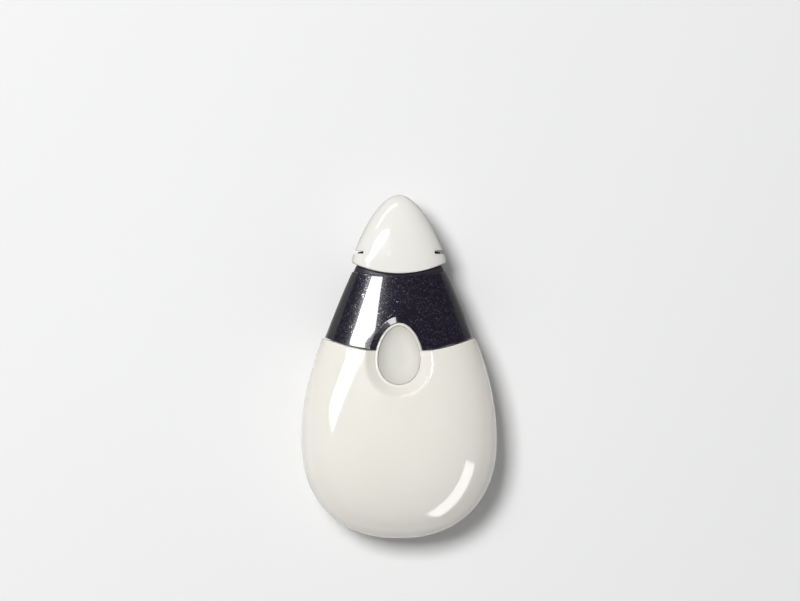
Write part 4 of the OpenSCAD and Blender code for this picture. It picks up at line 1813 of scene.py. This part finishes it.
@dataclass
class Studio:
    """Pale floor, soft lights and a camera that looks straight down, with lengths in metres."""

    target: Triple = (0.00024, 0.01587, 0.0117)
    distance: float = 1.15
    frame_width: float = 0.1923
    sensor: float = 36.0
    clip: Pair = (0.01, 50.0)
    floor_half: float = 6.0
    floor_below: float = 0.00002
    floor_polish: float = 0.75
    paint: Triple = (0.80, 0.80, 0.80)
    mirrored_paint: Triple = (0.22, 0.215, 0.20)
    mirror_dark_y: float = 0.014
    mirror_pale_y: float = 0.002
    glow: float = 0.72
    glow_start: float = 0.22
    glow_full: float = 1.3
    sky_colour: Triple = (0.98, 0.985, 1.0)
    sky: float = 0.27
    mirrored_sky: float = 0.08
    backdrop: float = 0.90
    boxes: tuple[Softbox, ...] = (
        Softbox("soft_key", (-0.57, 0.33, 1.26), (-0.15, 0.33, 1.26), 0.42, 29.5, Shine.MATT_ONLY),
        Softbox("collar_strip", (-0.26, 0.47, 0.90), (-0.84, 0.495, 0.90), 0.13, 18.0, Shine.GLOSS_ONLY),
        Softbox("body_strip", (-0.44, 0.47, 0.90), (-1.07, 0.09, 0.90), 0.25, 12.0, Shine.GLOSS_ONLY),
        Softbox("right_strip", (0.92, -0.31, 0.62), (0.32, -1.06, 0.36), 0.30, 8.0, Shine.GLOSS_ONLY),
        Softbox("tip_strip", (-0.06, 1.05, 0.43), (-0.78, 0.66, 0.47), 0.15, 7.5, Shine.GLOSS_ONLY),
    )

    def floor_paint(self) -> bpy.types.Material:
        """Pale paint, darker in mirrors beside the collar and the cap, that glows far out for the camera.

        Returns:
            The material.
        """
        material = bpy.data.materials.new("pale_floor_paint")
        material.use_nodes = True
        palette = Palette(material.node_tree)
        ray = palette.add("ShaderNodeLightPath").outputs
        place = palette.add("ShaderNodeTexCoord").outputs["Object"]
        along = palette.add("ShaderNodeSeparateXYZ", {"Vector": place}).outputs["Y"]
        share = palette.spread(along, (self.mirror_dark_y, self.mirror_pale_y))
        plain = (*self.paint, 1)
        mirrored = palette.mix(share, (*self.mirrored_paint, 1), plain)
        paint = palette.mix(ray["Is Glossy Ray"], plain, mirrored)
        reach = palette.add("ShaderNodeVectorMath", {0: place}, operation="LENGTH").outputs["Value"]
        far = palette.spread(reach, (self.glow_start, self.glow_full), (0.0, self.glow))
        shader = palette.add("ShaderNodeBsdfPrincipled", {
            "Base Color": paint, "Roughness": self.floor_polish, "Emission Color": (1, 1, 1, 1),
            "Emission Strength": palette.maths("MULTIPLY", far, ray["Is Camera Ray"])})
        palette.add("ShaderNodeOutputMaterial", {"Surface": shader.outputs[0]})
        return material

    def floor(self) -> None:
        """Adds the floor, a wide plain sheet under the marker."""
        side = self.floor_half
        mesh = bpy.data.meshes.new("pale_floor")
        mesh.from_pydata([(-side, -side, 0), (side, -side, 0), (side, side, 0), (-side, side, 0)], [],
                         [(0, 1, 2, 3)])
        floor = bpy.data.objects.new("pale_floor", mesh)
        bpy.context.scene.collection.objects.link(floor)
        floor.location.z = -self.floor_below
        floor.data.materials.append(self.floor_paint())

    def lights(self) -> None:
        """Adds the softboxes, and a sky that is darker in mirrors and paler for the camera."""
        for box in self.boxes:
            box.build(Vector(self.target))
        world = bpy.context.scene.world or bpy.data.worlds.new("studio_sky")
        bpy.context.scene.world = world
        world.use_nodes = True
        palette = Palette(world.node_tree)
        ray = palette.add("ShaderNodeLightPath").outputs
        mirrored = palette.mix(ray["Is Glossy Ray"], self.sky, self.mirrored_sky, "FLOAT")
        seen = palette.mix(ray["Is Camera Ray"], mirrored, self.backdrop, "FLOAT")
        sky = palette.add("ShaderNodeBackground", {"Color": (*self.sky_colour, 1), "Strength": seen})
        palette.add("ShaderNodeOutputWorld", {"Surface": sky.outputs[0]})

    def camera(self) -> None:
        """Adds the camera, a long lens straight above the marker."""
        lens = bpy.data.cameras.new("photo_camera")
        lens.sensor_width = self.sensor
        lens.lens = self.sensor * self.distance / self.frame_width
        lens.clip_start, lens.clip_end = self.clip
        camera = bpy.data.objects.new("photo_camera", lens)
        camera.location = (self.target[0], self.target[1], self.target[2] + self.distance)
        bpy.context.scene.collection.objects.link(camera)
        bpy.context.scene.camera = camera

    def build(self) -> None:
        """Sets up floor, lights, camera and the plain colour transform."""
        self.floor()
        self.lights()
        self.camera()
        bpy.context.scene.view_settings.view_transform = "Standard"


def main() -> None:
    """Builds the marker's sub-assemblies in order, then the studio, and reports each."""
    logging.basicConfig(level=logging.INFO, format="%(name)s %(message)s")
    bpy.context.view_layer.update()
    outline, cap, egg, finishes = BodyOutline(), CapOutline(), EggOutline(), Finishes()
    dish = Dish(outline, egg)
    for assembly in (Container(outline, egg, dish, finishes), CollarSleeve(outline, egg, dish, finishes),
                     WheelHolder(outline, cap, finishes), TracingWheel(finishes),
                     SnapCap(outline, cap, finishes), Studio()):
        assembly.build()
        LOG.info("built %s", type(assembly).__name__)


if __name__ == "__main__":
    main()
